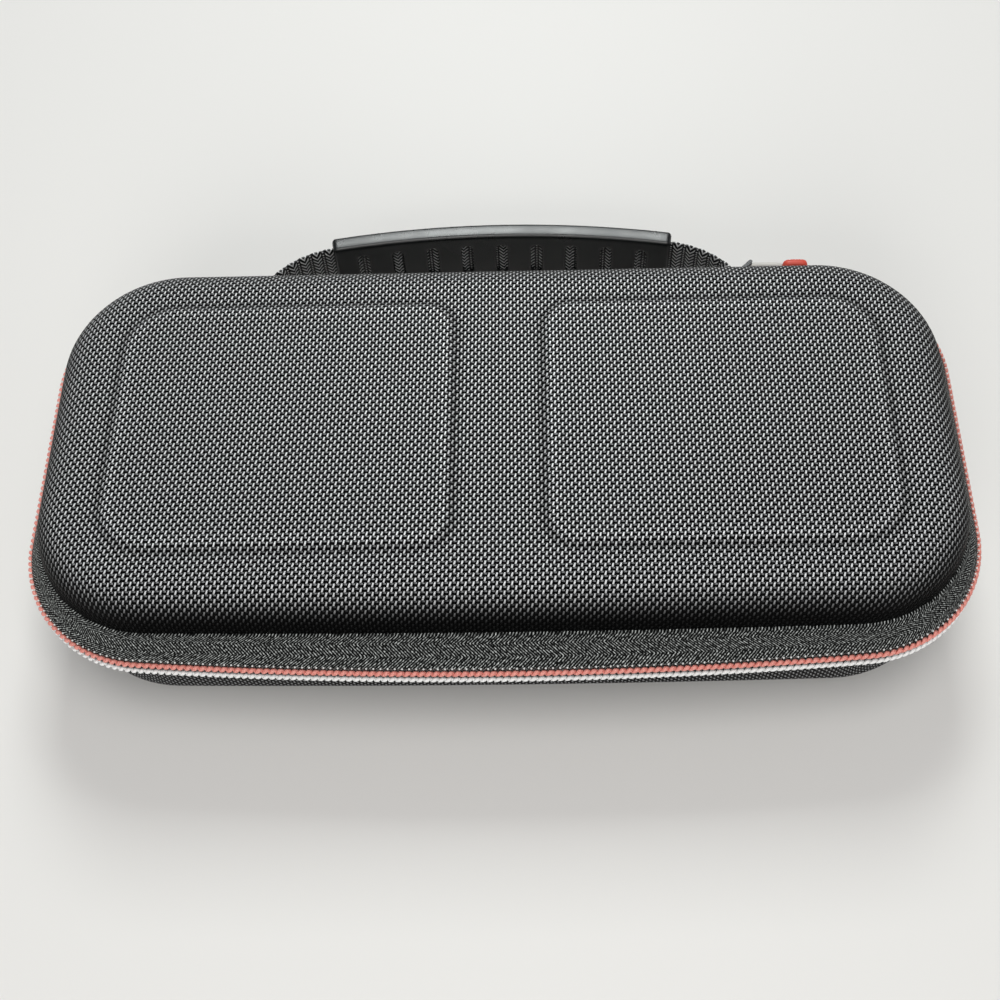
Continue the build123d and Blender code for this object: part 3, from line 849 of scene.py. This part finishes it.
def strap_line(places):
    """Points of the strap's middle line and its outward directions, by the length from its crown."""
    fine = np.linspace(0, strap_reach, 4001)
    heading = np.interp(fine, knots, headings)
    step = fine[1] - fine[0]
    x, y = (np.concatenate([[0], np.cumsum(step * (way[1:] + way[:-1]) / 2)])
            for way in (np.cos(heading), np.sin(heading)))
    y = crown_y + y
    length, side = np.abs(places), np.sign(places)
    turn = np.interp(length, fine, heading) * side
    line = np.stack([np.interp(length, fine, x) * side, np.interp(length, fine, y)], -1)
    return line, np.stack([-np.sin(turn), np.cos(turn)], -1)


strap_end = strap_line(np.array([strap_reach]))[0]
print("strap", round(2 * strap_reach, 4), "m long, ends at", np.round(strap_end, 4))

# %% Webbing finish and shape
rib_period, rib_wide = 4.5 * mm, 3.0 * mm
dash_slope, dash_pitch, dot_pitch = 1.1, 1.6 * mm, 0.95 * mm


def webbing_finish():
    """Painted highlights on black yarn: slanted dashes that meet in chevrons along every rib, and dots
    between.
    """
    material, tree, inputs = start_finish("webbing_yarn", 0.42, 0.55)
    uv, split = cloth_map(tree)
    fibre = place_group(tree, grain, Place=uv, Scale=4800.0)
    half = rib_period / 2
    inside = maths(tree, "PINGPONG", split[0], half)
    dash = wave_along(tree, maths(tree, "MULTIPLY_ADD", inside, dash_slope, split[1]), dash_pitch)
    dot = wave_along(tree, split[1], dot_pitch)
    chevron = times(tree, ramp(tree, dash, 0.1, 0.75), ramp(tree, inside, 0.24 * half, 0.42 * half))
    tie = times(tree, ramp(tree, dot, 0.0, 0.6), ramp(tree, inside, 0.16 * half, 0.06 * half))
    height = maths(tree, "MAXIMUM", chevron, tie)
    # The weave's chevrons and dots as painted highlights: bright colour on black yarn.
    bright = times(tree, height, ramp(tree, fibre["Height"], 0.3, 0.65, 0.6, 1.0))
    colour = blend_colour(tree, bright, (0.002, 0.002, 0.0025, 1), (0.92, 0.93, 0.92, 1))
    put(tree, inputs["Base Color"], colour)
    put(tree, inputs["Roughness"], ramp(tree, fibre["Height"], 0.2, 0.8, 0.5, 0.34))
    bump(tree, inputs, height, 0.35 * mm)
    return material


def rib_height(places):
    """Ribs along the strap from 0 to 1: a wide round one and a lower narrow one in each period."""
    phase = np.mod(places, rib_period)
    wide_half, narrow_half, narrow_rise = rib_wide / 2, (rib_period - rib_wide) / 2, 0.7
    wide, narrow = (np.sqrt(np.clip(1 - ((phase - middle) / half) ** 2, 0, 1))
                    for middle, half in ((wide_half, wide_half), (rib_wide + narrow_half, narrow_half)))
    return np.maximum(wide, narrow_rise * narrow)


def webbing_surface():
    """The strap as a closed band: two ribbed faces and two round edges."""
    places = np.linspace(-strap_reach, strap_reach, 721)
    line, out = strap_line(places)
    rib = rib_height(places + strap_reach)[:, None]
    face = np.linspace(-1, 1, 17)
    across = np.concatenate([face, face[::-1]])
    side = np.repeat([1.0, -1.0], 17)
    edge = np.sqrt(np.clip(1 - np.abs(across) ** 14, 0, 1)) * 0.8 + 0.2
    thick = side * edge * (0.62 + 0.38 * rib) * webbing_thickness / 2
    z = strap_mid_z + across * (strap_half - 0.5 * mm * (1 - rib))
    plan = line[:, None] + thick[..., None] * out[:, None]
    span = np.concatenate([across, [across[0]]]) * strap_half
    uv = np.stack(grid(places + strap_reach, span), -1)
    return surface(raise_to(plan, z), wrap=(False, True), uv=uv, caps=(True, True))


webbing = build("webbing", webbing_surface())
dress(webbing, webbing_finish(), "base", "webbing", "handle_webbing")

# %% [markdown]
# ## The slotted grip
# A sleeve of satin rubber is moulded round the webbing, with nine round-ended slots that show the weave.
# Cutting the slots with a Boolean would leave long thin faces, so each slot gets a ring of faces of its
# own: its inside follows the slot, and its outside is a cell of the grip's wall. Lips and ends close the
# rest on the same lines.


# %% Rubber finish
def rubber_finish(name, colour, roughness, specular=0.45, fine=0.02 * mm):
    """Moulded rubber with a fine grain and a little handling shine."""
    material, tree, inputs = start_finish(name, roughness, specular)
    tone = place_group(tree, grain, Place=own_place(tree), Scale=3400.0)
    dark = tuple(0.72 * c for c in colour[:3]) + (1,)
    put(tree, inputs["Base Color"], blend_colour(tree, tone["Tone"], dark, colour))
    put(tree, inputs["Roughness"], ramp(tree, tone["Tone"], 0.0, 1.0, roughness - 0.05, roughness + 0.07))
    bump(tree, inputs, tone["Height"], fine)
    return material


grip_rubber = rubber_finish("satin_rubber", (0.008, 0.009, 0.009, 1), 0.3, 0.6)

# %% Grip shape
slot_pitch, slot_count = 11.75 * mm, 9
slot_half_width, slot_half_height = 1.8 * mm, 7 * mm
slot_straight = slot_half_height - slot_half_width
grip_out, grip_round, slot_round = 2.8 * mm, 1.2 * mm, 0.35 * mm
grip_half_height = (grip_high[2] - grip_low[2]) / 2
wall_half = grip_half_height - grip_round
cell_steps, wall_steps = 8, 16


def bend_grip(along, across, out):
    """Takes the straight grip round its arc: along it, across its height and out from its middle."""
    angle, radius = along / grip_radius, grip_radius + out
    centre_y = crown_y - grip_radius
    return np.stack([radius * np.sin(angle), centre_y + radius * np.cos(angle), strap_mid_z + across], -1)


def slot_ring():
    """Once round a slot and once round its cell, step for step. A slot's side is found from its height, and
    its round ends from an angle."""
    low = np.radians(np.linspace(-150, -30, cell_steps, endpoint=False))
    bottom = np.stack([slot_half_width * np.cos(low), -slot_straight + slot_half_width * np.sin(low)], -1)
    high = slot_straight + slot_half_width / 2
    z = np.linspace(-high, high, wall_steps, endpoint=False)
    x = np.sqrt(slot_half_width**2 - np.maximum(np.abs(z) - slot_straight, 0) ** 2)
    right = np.stack([x, z], -1)
    slot = np.concatenate([bottom, right, -bottom, -right])
    cell_x = np.linspace(-1, 1, cell_steps, endpoint=False) * slot_pitch / 2
    cell_z = np.linspace(-1, 1, wall_steps, endpoint=False) * wall_half
    cell_low = np.stack([cell_x, np.full(cell_steps, -wall_half)], -1)
    cell_right = np.stack([np.full(wall_steps, slot_pitch / 2), cell_z], -1)
    return slot, np.concatenate([cell_low, cell_right, -cell_low, -cell_right])


def slot_cells():
    """All slots: the outer wall's ring of faces, the slot's rounded mouth, its sides, and the same on the
    inner wall, as one band that goes from cell to cell through the slot."""
    slot, cell = slot_ring()
    mix = np.array([1, 0.75, 0.5, 0.3, 0.16, 0, 0])
    sink = np.array([0, 0, 0, 0, 0, 0.3, 1]) * slot_round
    wide = np.array([0, 0, 0, 0, 0, 1, 0.3]) * slot_round
    plan = slot[:, None] * (1 - mix[:, None]) + cell[:, None] * mix[:, None]
    end = np.sign(slot[:, 1]) * np.maximum(np.abs(slot[:, 1]) - slot_straight, 0)
    facing = np.stack([slot[:, 0], end], -1) / slot_half_width
    plan = plan + wide[:, None] * facing[:, None]
    plan = np.concatenate([plan, plan[:, ::-1]], 1)
    out = np.concatenate([grip_out - sink, (sink - grip_out)[::-1]])
    middles = (np.arange(slot_count) - (slot_count - 1) / 2) * slot_pitch
    along = middles[:, None, None] + plan[..., 0]
    return islands(bend_grip(along, np.broadcast_to(plan[..., 1], along.shape), out), (True, False))


def section_ring():
    """The grip's section outside its slots: both walls, and a lip with round edges above and below."""
    turn = np.radians(np.linspace(0, 90, 5)[1:])
    wall = np.linspace(-1, 1, wall_steps + 1) * wall_half
    lip_out = grip_out - grip_round + grip_round * np.cos(turn)
    lip_out = np.concatenate([lip_out, -lip_out[::-1]])
    lip_z = wall_half + grip_round * np.concatenate([np.sin(turn), np.sin(turn)[::-1]])
    out = np.concatenate([np.full(len(wall), grip_out), lip_out, np.full(len(wall), -grip_out), -lip_out])
    return out, np.concatenate([wall, lip_z, -wall, -lip_z])


def grip_lip(up):
    """A lip along all the cells, from the outer wall over to the inner one."""
    out, across = section_ring()
    first = wall_steps
    count = len(out) // 2 - wall_steps + 1
    lines = np.linspace(-1, 1, slot_count * cell_steps + 1) * slot_count * slot_pitch / 2
    lip_out, lip_across = out[first:first + count], across[first:first + count]
    along, over = grid(lines, up * lip_out)
    return surface(bend_grip(along, np.broadcast_to(up * lip_across, along.shape), over))


def grip_end(side):
    """The stretch beyond the last slot, with a rounded end."""
    out, across = section_ring()
    start = slot_count * slot_pitch / 2
    turn = np.radians(np.linspace(0, 90, 5))
    lines = np.concatenate([np.linspace(start, grip_half - grip_round, 5)[:-1],
                            grip_half - grip_round + grip_round * np.sin(turn)])
    inset = np.concatenate([np.zeros(4), grip_round * (1 - np.cos(turn))])
    along = np.broadcast_to(side * lines[:, None], (len(lines), len(out)))
    narrow = 1 - inset[:, None] / grip_out
    low = 1 - inset[:, None] / grip_half_height
    return surface(bend_grip(along, across * low, out * narrow), wrap=(False, True), caps=(False, True))


grip = build("grip", slot_cells(), grip_lip(1), grip_lip(-1), grip_end(1), grip_end(-1), sharp=60)
dress(grip, grip_rubber, "base", "grip_rubber", "handle_grip")
print("grip", 2 * grip_half, "m along its arc")

# %% [markdown]
# ## The zip pull
# The slider, its wire loop and the end stops are small die-cast pieces in black enamel, and their packed
# shapes are already true, so they only get the finish. The moulded pull is a white strap with a red tip.
# Both are rounded blocks: superellipse sections along X that shrink towards the ends.

# %% Pull shapes
enamel = rubber_finish("black_enamel", (0.018, 0.018, 0.02, 1), 0.25, 0.45, 0.006 * mm)
for name in ("zip_slider", "pull_loop", "zip_end_stops"):
    nodes[name].data.materials.clear()
    nodes[name].data.materials.append(enamel)
pull_white = rubber_finish("white_rubber", (0.8, 0.77, 0.72, 1), 0.45)
pull_red = rubber_finish("red_rubber", (0.78, 0.09, 0.055, 1), 0.42)


def rounded_block(low, high, end_power, groove_depth=0.0):
    """Superellipse sections along X. Their size falls to nothing at both ends, faster for a higher power,
    and grooves across it can be pressed in."""
    middle, half = (low + high) / 2, (high - low) / 2
    tip, grooves, grooved = 0.04, 9, 0.6
    t = -np.cos(np.linspace(tip, np.pi - tip, 41))
    size = (1 - np.abs(t) ** end_power) ** (1 / end_power)
    groove = 1 - groove_depth * np.clip(np.cos(t * grooves * np.pi), 0, 1) * (np.abs(t) < grooved)
    y, z = squared(ring_of(24), 0.6)
    x = np.broadcast_to((middle[0] + half[0] * t)[:, None], (len(t), len(y)))
    y = middle[1] + half[1] * (size * groove)[:, None] * y
    z = middle[2] + half[2] * size[:, None] * z
    return surface(np.stack([x, y, z], -1), wrap=(False, True), caps=(True, True))


white_strap = build("white_strap", rounded_block(*corners_of("pull_strap"), 6))
dress(white_strap, pull_white, "pull", "pull_white", "pull_strap")
red_tip = build("red_tip", rounded_block(*corners_of("pull_tip"), 4, 0.12))
dress(red_tip, pull_red, "pull", "pull_red", "pull_tip")

# %% [markdown]
# ## Hinge cloth and handle patches
# At the back a strip of cloth joins the two halves and folds as the lid opens. Its section is a shallow
# bulge round the hinge line. The strap's tails are held by rubber patches: a height over the wall that
# stays level and falls off at the border, with a row of stitches inside it.


# %% Hinge cloth
def lining_finish(name, dark, light, threads, depth):
    """A plain woven cloth in the shared weave group, with its own threads to the metre and greys, which are a
    little bluer in their third part."""
    material, tree, inputs = start_finish(name, 0.7, 0.3, 0.1)
    uv, _ = cloth_map(tree)
    yarn = place_group(tree, weave, Cloth=uv, Warp=threads, Weft=threads, Wander=0.3)
    tone = place_group(tree, grain, Place=uv, Scale=3000.0)
    crest = times(tree, yarn["Tone"], ramp(tree, tone["Tone"], 0.0, 1.0, 0.7, 1.0))
    put(tree, inputs["Base Color"], blend_colour(tree, crest, dark, light))
    put(tree, inputs["Roughness"], ramp(tree, yarn["Over"], 0.0, 1.0, 0.75, 0.6))
    bump(tree, inputs, yarn["Height"], depth)
    return material


hinge_low, hinge_high = corners_of("hinge_strip")
hinge_reach, hinge_bulge, hinge_sink = 4.6 * mm, 2.9 * mm, 1.5 * mm
hinge_ripple, hinge_wave, hinge_width = 0.12 * mm, 3.1 * mm, 12.6 * mm
hinge_grey = (0.006, 0.006, 0.007, 1), (0.05, 0.05, 0.053, 1)
hinge_cloth_finish = lining_finish("hinge_cloth", *hinge_grey, 1800, 0.2 * mm)


def hinge_surface():
    """A strip of cloth along the hinge whose section is half a cosine wave, with a slight ripple along it."""
    x, t = grid(np.linspace(hinge_low[0], hinge_high[0], 121), np.linspace(-1, 1, 33))
    bulge = hinge_y - hinge_sink + (hinge_bulge + hinge_sink) * np.cos(t * np.pi / 2) ** 0.8
    y = bulge + hinge_ripple * np.sin(x / hinge_wave) * (1 - t**2)
    uv = np.stack([x, t * 6 * mm], -1)
    return surface(np.stack([x, y, zip_z + hinge_reach * t], -1), uv=uv)


hinge_cloth = build("hinge_cloth", hinge_surface(), outwards=False)
hinge_cloth.data.materials.append(hinge_cloth_finish)
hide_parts("hinge_strip")
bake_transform(hinge_cloth)

# %% Handle patches
seam_inset, seam_groove, seam_depth = 2.2 * mm, 0.5 * mm, 0.08
seam_pitch, seam_stitch, seam_thread, seam_sink = 2.4 * mm, 0.62, 0.22 * mm, 0.25 * mm


def patch_surface(low, high):
    """A pad over a rectangle of the wall: level inside, round at its border, with a flat back and a groove
    for its seam."""
    t = np.sin(np.linspace(-1, 1, 33) * np.pi / 2)
    a, b = grid(t, t)
    middle, half = (low + high) / 2, (high - low) / 2
    level = (np.clip(1 - a**10, 0, 1) * np.clip(1 - b**10, 0, 1)) ** 0.35
    border = np.maximum(np.abs(a) * half[0] - half[0], np.abs(b) * half[2] - half[2])
    groove = bell(border + seam_inset, seam_groove)
    y = low[1] + (high[1] - low[1]) * level * (1 - seam_depth * groove)
    x, z = middle[0] + half[0] * a, middle[2] + half[2] * b
    back = np.stack([x, np.full(a.shape, low[1]), z], -1)
    return surface(np.stack([x, y, z], -1)), surface(back)


def patch_stitches(low, high):
    """Stitches round the patch, a little inside its border."""
    (x0, _, z0), (x1, _, z1) = low + seam_inset, high - seam_inset
    path = np.array([[x0, z0], [x1, z0], [x1, z1], [x0, z1], [x0, z0]])
    run = travel(path)
    count = int(run[-1] / seam_pitch)
    begin = np.arange(count) * run[-1] / count

    def at(place):
        x, z = (np.interp(place, run, path[:, k]) for k in (0, 1))
        return np.stack([x, np.full(len(place), high[1] - seam_sink), z], -1)

    out = np.broadcast_to([0.0, 1.0, 0.0], (count, 3))
    return spindles(at(begin), at(begin + seam_stitch * seam_pitch), seam_thread, out)


for side in ("right", "left"):
    patch_low, patch_high = corners_of(f"{side}_handle_patch")
    patch = build(f"{side}_patch", *patch_surface(patch_low, patch_high))
    dress(patch, grip_rubber, "base", "grip_rubber", f"{side}_handle_patch")
    seam = build(f"{side}_patch_stitches", patch_stitches(patch_low, patch_high))
    dress(seam, thread_black, "base", "grip_rubber")

# %% [markdown]
# ## Inside: the velour bed
# Under the lid the base is filled by a foam bed under velour, with a recess for the console and finger
# scoops. Its rings run from the recess's edge over the land to the outer wall, because rings that follow
# the recess give clean corners. The scoops press every point under them down to a round-bottomed notch.


# %% Velour finish
def velour_finish():
    """Short pile: a soft sheen, a mottled tone and a fine nap."""
    material, tree, inputs = start_finish("tray_velour", 0.9, 0.2, 0.6)
    nap = place_group(tree, grain, Place=own_place(tree), Scale=2400.0)
    dark, light = (0.02, 0.02, 0.022, 1), (0.045, 0.045, 0.05, 1)
    put(tree, inputs["Base Color"], blend_colour(tree, nap["Tone"], dark, light))
    put(tree, inputs["Roughness"], ramp(tree, nap["Height"], 0.2, 0.8, 0.8, 0.98))
    bump(tree, inputs, nap["Height"], 0.3 * mm)
    return material


# %% Bed shape
tray_low, tray_high = corners_of("tray_floor")
tray_top_z = corners_of("tray_back_strip")[1][2]
recess_half, recess_back, recess_corner = 120.1 * mm, 51.6 * mm, 16 * mm
no_bow = 0.001 * mm
scoop_x, scoop_radius, scoop_depth = 62 * mm, 15 * mm, 9 * mm
tray_half, tray_back, tray_corner = tray_high[0], tray_high[1], 30.75 * mm
tray_lines = np.linspace(0, 1, 161), np.linspace(0, 1, 17), np.linspace(0, 1, 33)


def scooped(x, z):
    """Heights pressed down to the two round notches across the bed."""
    reach = np.abs(np.abs(x) - scoop_x)
    notch = tray_top_z - scoop_depth + scoop_radius - np.sqrt(np.maximum(scoop_radius**2 - reach**2, 0))
    return np.where(reach < scoop_radius, np.minimum(z, np.maximum(notch, tray_high[2])), z)


def tray_surfaces():
    """The recess's floor, the rings from its edge out to the outer wall, and the underside."""
    inner = outline(recess_half, recess_back, no_bow, recess_corner, tray_lines)
    outer = outline(tray_half, tray_back, rim_bow, tray_corner, tray_lines)
    inner_step = np.array([-2.0, -0.7, 0.0, 0.1, 0.1, 0.1, 0.4, 1.2]) * mm
    outer_step = np.array([-1.4, -0.5, 0, 0, 0, -2.0]) * mm
    over_floor = np.array([0, 0.3, 1.4, 5]) * mm
    under_land = np.array([5, 1.4, 0.4, 0, 0, 0.4, 1.4, 9]) * mm
    over_foot = np.array([2, 0]) * mm
    bands = [loop[:, None] + step[:, None] * out[:, None]
             for (loop, out), step in ((inner[2], inner_step), (outer[2], outer_step))]
    rings = np.concatenate(bands, 1)
    z = np.concatenate([tray_high[2] + over_floor, tray_top_z - under_land, tray_low[2] + over_foot])
    z = scooped(rings[..., 0], np.broadcast_to(z, rings.shape[:2]))
    floor = filled(*inner[:2], inner_step[0], tray_lines[2])
    under = filled(*outer[:2], outer_step[-1], tray_lines[2])
    bed = surface(raise_to(rings, z), wrap=(True, False))
    return bed, surface(raise_to(floor, tray_high[2])), surface(raise_to(under, tray_low[2]))


tray = build("velour_tray", *tray_surfaces())
tray_nodes = ["tray_floor", "tray_right_strip", "tray_left_strip", "tray_front_strip", "tray_back_strip"]
dress(tray, velour_finish(), "base", "tray_velour", *tray_nodes)

# %% [markdown]
# ## Inside: the padded flap, its card pockets and the mesh
# The lid is closed by a padded leaf with a bound edge, sewn to the lid along its back, with two rows of
# card pockets on its lower face. Behind it a mesh sheet with an elastic hem makes one more pocket. The
# leaf is a closed shell like the others, and the mesh is one layer of cloth with holes in its finish.

# %% Padded flap
flap_low, flap_high = corners_of("divider_flap")
flap_grey = (0.01, 0.01, 0.011, 1), (0.06, 0.06, 0.064, 1)
flap_fabric = lining_finish("flap_tricot", *flap_grey, 1500, 0.12 * mm)
flap_edge, flap_seam, flap_seam_width = 2.2 * mm, 3.5 * mm, 0.7 * mm
flap_half, flap_back, flap_corner = np.array([*flap_high[:2], 20 * mm]) - flap_edge


def flap_relief(x, y):
    """A seam pressed in round the leaf, inside its binding, as a bell curve across it."""
    inset = rounded_box_depth(x, y, flap_half, flap_back, flap_corner)
    return -flap_seam_width * bell(inset - flap_seam, flap_seam_width)


def flap_surfaces():
    """The leaf with its lower face first: a flat, a round bound edge and the upper face."""
    turn = np.linspace(0, np.pi, 13)
    half_thick = (flap_high[2] - flap_low[2]) / 2
    out = flap_edge * np.sin(turn)
    down = half_thick * (1 - np.cos(turn))
    sizes = flap_half, flap_back, no_bow, flap_corner
    lines = np.linspace(0, 1, 81), steps(0, 20, 0.6, 8, 1), mirrored(steps(0, 12, 0.06, 8, 0.5))
    return shell_surfaces(sizes, flap_low[2], -1, (out, down, flap_edge * turn), lines, flap_relief)


flap = build("padded_flap", *flap_surfaces())
dress(flap, flap_fabric, "lid", "flap_fabric", "divider_flap")

# %% Card pockets and flap tape
pocket_low, pocket_high = corners_of("card_pockets")
pocket_half, pocket_corner = np.array([20, 18]) * mm, 4 * mm
pocket_columns, pocket_rows = (np.arange(5) - 2) * 44 * mm, (np.arange(2) - 0.5) * 43 * mm
hem_width, hem_step, pocket_edge, single_layer = 7 * mm, 0.6 * mm, 1.6 * mm, 0.55
pocket_grey = (0.012, 0.012, 0.013, 1), (0.13, 0.13, 0.138, 1)
pocket_fabric = lining_finish("pocket_cloth", *pocket_grey, 1000, 0.25 * mm)


def pocket_islands():
    """Ten flat pockets: each is a pad that ends at a straight mouth with a folded hem."""
    x, y = grid(np.linspace(-1, 1, 41) * pocket_half[0], np.linspace(-1, 1, 73) * pocket_half[1])
    depth = rounded_box_depth(x, y, *pocket_half, pocket_corner)
    hem = ease((y - pocket_half[1] + hem_width) / hem_step)
    thick = single_layer + (1 - single_layer) * hem
    rise = (pocket_high[2] - pocket_low[2]) * ease(depth / pocket_edge) * thick
    middles = np.stack(grid(pocket_columns, pocket_rows), -1).reshape(-1, 2)
    plan = middles[:, None, None] + np.stack([x, y], -1)
    return islands(raise_to(plan, pocket_high[2] - rise), (False, False), np.stack([x, y], -1))


pockets = build("card_pocket_pads", pocket_islands(), outwards=False)
dress(pockets, pocket_fabric, "lid", "pocket_fabric", "card_pockets")


def ribbed_band(low, high, rib, depth, count):
    """A band along X with an oval section, whose thickness follows fine cross ribs."""
    x = np.linspace(low[0], high[0], count)
    middle, half = (low + high) / 2, (high - low) / 2
    thick = half[2] * (1 - depth * (0.5 + 0.5 * np.cos(2 * np.pi * x / rib)))
    y, z = squared(ring_of(16), 0.4)
    y, z = middle[1] + half[1] * y, middle[2] + thick[:, None] * z
    plan = np.stack(grid(x, y), -1)
    uv = np.stack(grid(x, np.append(y, y[0])), -1)
    return surface(raise_to(plan, z), wrap=(False, True), uv=uv, caps=(True, True))


flap_band = build("flap_band", ribbed_band(*corners_of("flap_tape"), 1.2 * mm, 0.15, 641))
dress(flap_band, hinge_cloth_finish, "lid", "hinge_fabric", "flap_tape")

# %% Mesh pocket and elastic
mesh_low, mesh_high = corners_of("mesh_pocket")
mesh_pitch, mesh_sag, mesh_wave = 2.1 * mm, 0.35 * mm, 17 * mm


def mesh_finish():
    """Knitted net: bars between diamond holes, open where the product of two waves is far from nothing."""
    material, tree, inputs = start_finish("pocket_mesh", 0.6, 0.4)
    uv, split = cloth_map(tree)
    tone = place_group(tree, grain, Place=uv, Scale=3000.0)
    first, second = (wave_along(tree, split[k], 2 * mesh_pitch) for k in (0, 1))
    hole = maths(tree, "ABSOLUTE", times(tree, first, second))
    put(tree, inputs["Alpha"], ramp(tree, hole, 0.36, 0.42, 1.0, 0.0))
    dark, light = (0.012, 0.012, 0.013, 1), (0.04, 0.04, 0.042, 1)
    put(tree, inputs["Base Color"], blend_colour(tree, tone["Tone"], dark, light))
    put(tree, inputs["Roughness"], ramp(tree, tone["Height"], 0.2, 0.8, 0.5, 0.7))
    bump(tree, inputs, hole, 0.3 * mm)
    return material


def mesh_surface():
    """One layer from the mouth's straight edge to the lid's back outline, a little slack between."""
    corner = rim_corner - (rim_half - mesh_high[0])
    rear, _ = back_row(mesh_high[0], mesh_high[1], corner, np.linspace(0, 1, 13), np.linspace(0, 1, 81))
    front = np.stack([rear[:, 0], np.full(len(rear), mesh_low[1])], -1)
    t = np.linspace(0, 1, 41)[:, None]
    plan = front + (rear - front) * t[..., None]
    slack = mesh_sag * np.sin(np.pi * t) * np.sin(plan[..., 0] / mesh_wave)
    return surface(raise_to(plan, (mesh_low[2] + mesh_high[2]) / 2 + slack), uv=plan)


mesh_cloth = build("mesh_cloth", mesh_surface(), outwards=False)
dress(mesh_cloth, mesh_finish(), "lid", "mesh_fabric", "mesh_pocket")
elastic_grey = (0.01, 0.01, 0.01, 1), (0.06, 0.06, 0.062, 1)
elastic_finish = lining_finish("elastic", *elastic_grey, 1600, 0.15 * mm)
elastic_hem = build("elastic_hem", ribbed_band(*corners_of("mesh_elastic"), 2.4 * mm, 0.35, 841))
dress(elastic_hem, elastic_finish, "lid", "elastic", "mesh_elastic")

# %% [markdown]
# ## Stage, light and camera
# The case lies on a pale table under three large soft lamps: one above, one behind as a window would be,
# and one in front. The lamp behind is what picks out the crests of the yarn, and the front one keeps the
# zip and the walls from going black. The camera's place and angle were fitted to the outlines of the zip
# and the panels in the photo.

# %% Table
floor_half, floor_drop = 9.0, 0.05 * mm
floor_plan = np.stack(grid([-floor_half, floor_half], [-floor_half, floor_half]), -1)
table = build("table", surface(raise_to(floor_plan, -floor_drop)), outwards=False)
table_finish, _, table_inputs = start_finish("pale_table", 0.5, 0.35)
table_inputs["Base Color"].default_value = (0.78, 0.765, 0.74, 1)
table.data.materials.append(table_finish)


# %% Lights
def soft_light(name, power, size, place, aim, colour):
    """A large square lamp that faces a point."""
    lamp = bpy.data.lights.new(name, "AREA")
    lamp.energy, lamp.size, lamp.color = power, size, colour
    holder = bpy.data.objects.new(name, lamp)
    holder.location = place
    turn = Vector(aim) - Vector(place)
    holder.rotation_euler = turn.to_track_quat("-Z", "Y").to_euler()
    bpy.context.scene.collection.objects.link(holder)
    print(name, power, "W")


warm_white, cool_white = (1.0, 0.99, 0.97), (0.96, 1.0, 0.99)
soft_light("ceiling", 6.5, 0.7, (0.1, -0.25, 1.3), (0, 0, 0.03), warm_white)
soft_light("window", 10.0, 0.5, (0.0, 0.95, 1.08), (0, 0.05, 0.03), cool_white)
soft_light("front", 9.0, 0.8, (-0.2, -1.25, 0.75), (0, 0, 0.03), warm_white)
world = bpy.data.worlds.new("room")
world.use_nodes = True
sky = world.node_tree.nodes["Background"].inputs
sky["Color"].default_value = (0.9, 0.93, 1.0, 1)
sky["Strength"].default_value = 0.2
bpy.context.scene.world = world
bpy.context.scene.view_settings.view_transform = "Standard"

# %% Camera
film_width, focal_length = 36, 50.4
pitch, yaw, roll = np.radians([60.29, 2.97, -3.46])
eye = np.array([10.2, -216.0, 389.2]) * mm


def turn_z(angle):
    """Turn about the third axis."""
    return np.array([[np.cos(angle), -np.sin(angle), 0], [np.sin(angle), np.cos(angle), 0], [0, 0, 1]])


ahead = np.array([0, np.cos(pitch), -np.sin(pitch)])
right = np.array([1.0, 0, 0])
axes = turn_z(roll) @ np.stack([right, np.cross(ahead, right), ahead]) @ turn_z(yaw).T
matrix = np.eye(4)
matrix[:3, :3] = np.stack([axes[0], -axes[1], -axes[2]], 1)
matrix[:3, 3] = eye
camera_data = bpy.data.cameras.new("camera")
camera_data.sensor_width = film_width
camera_data.lens = focal_length
camera = bpy.data.objects.new("camera", camera_data)
camera.matrix_world = Matrix(matrix.tolist())
bpy.context.scene.collection.objects.link(camera)
bpy.context.scene.camera = camera
print("camera at", np.round(eye, 3))
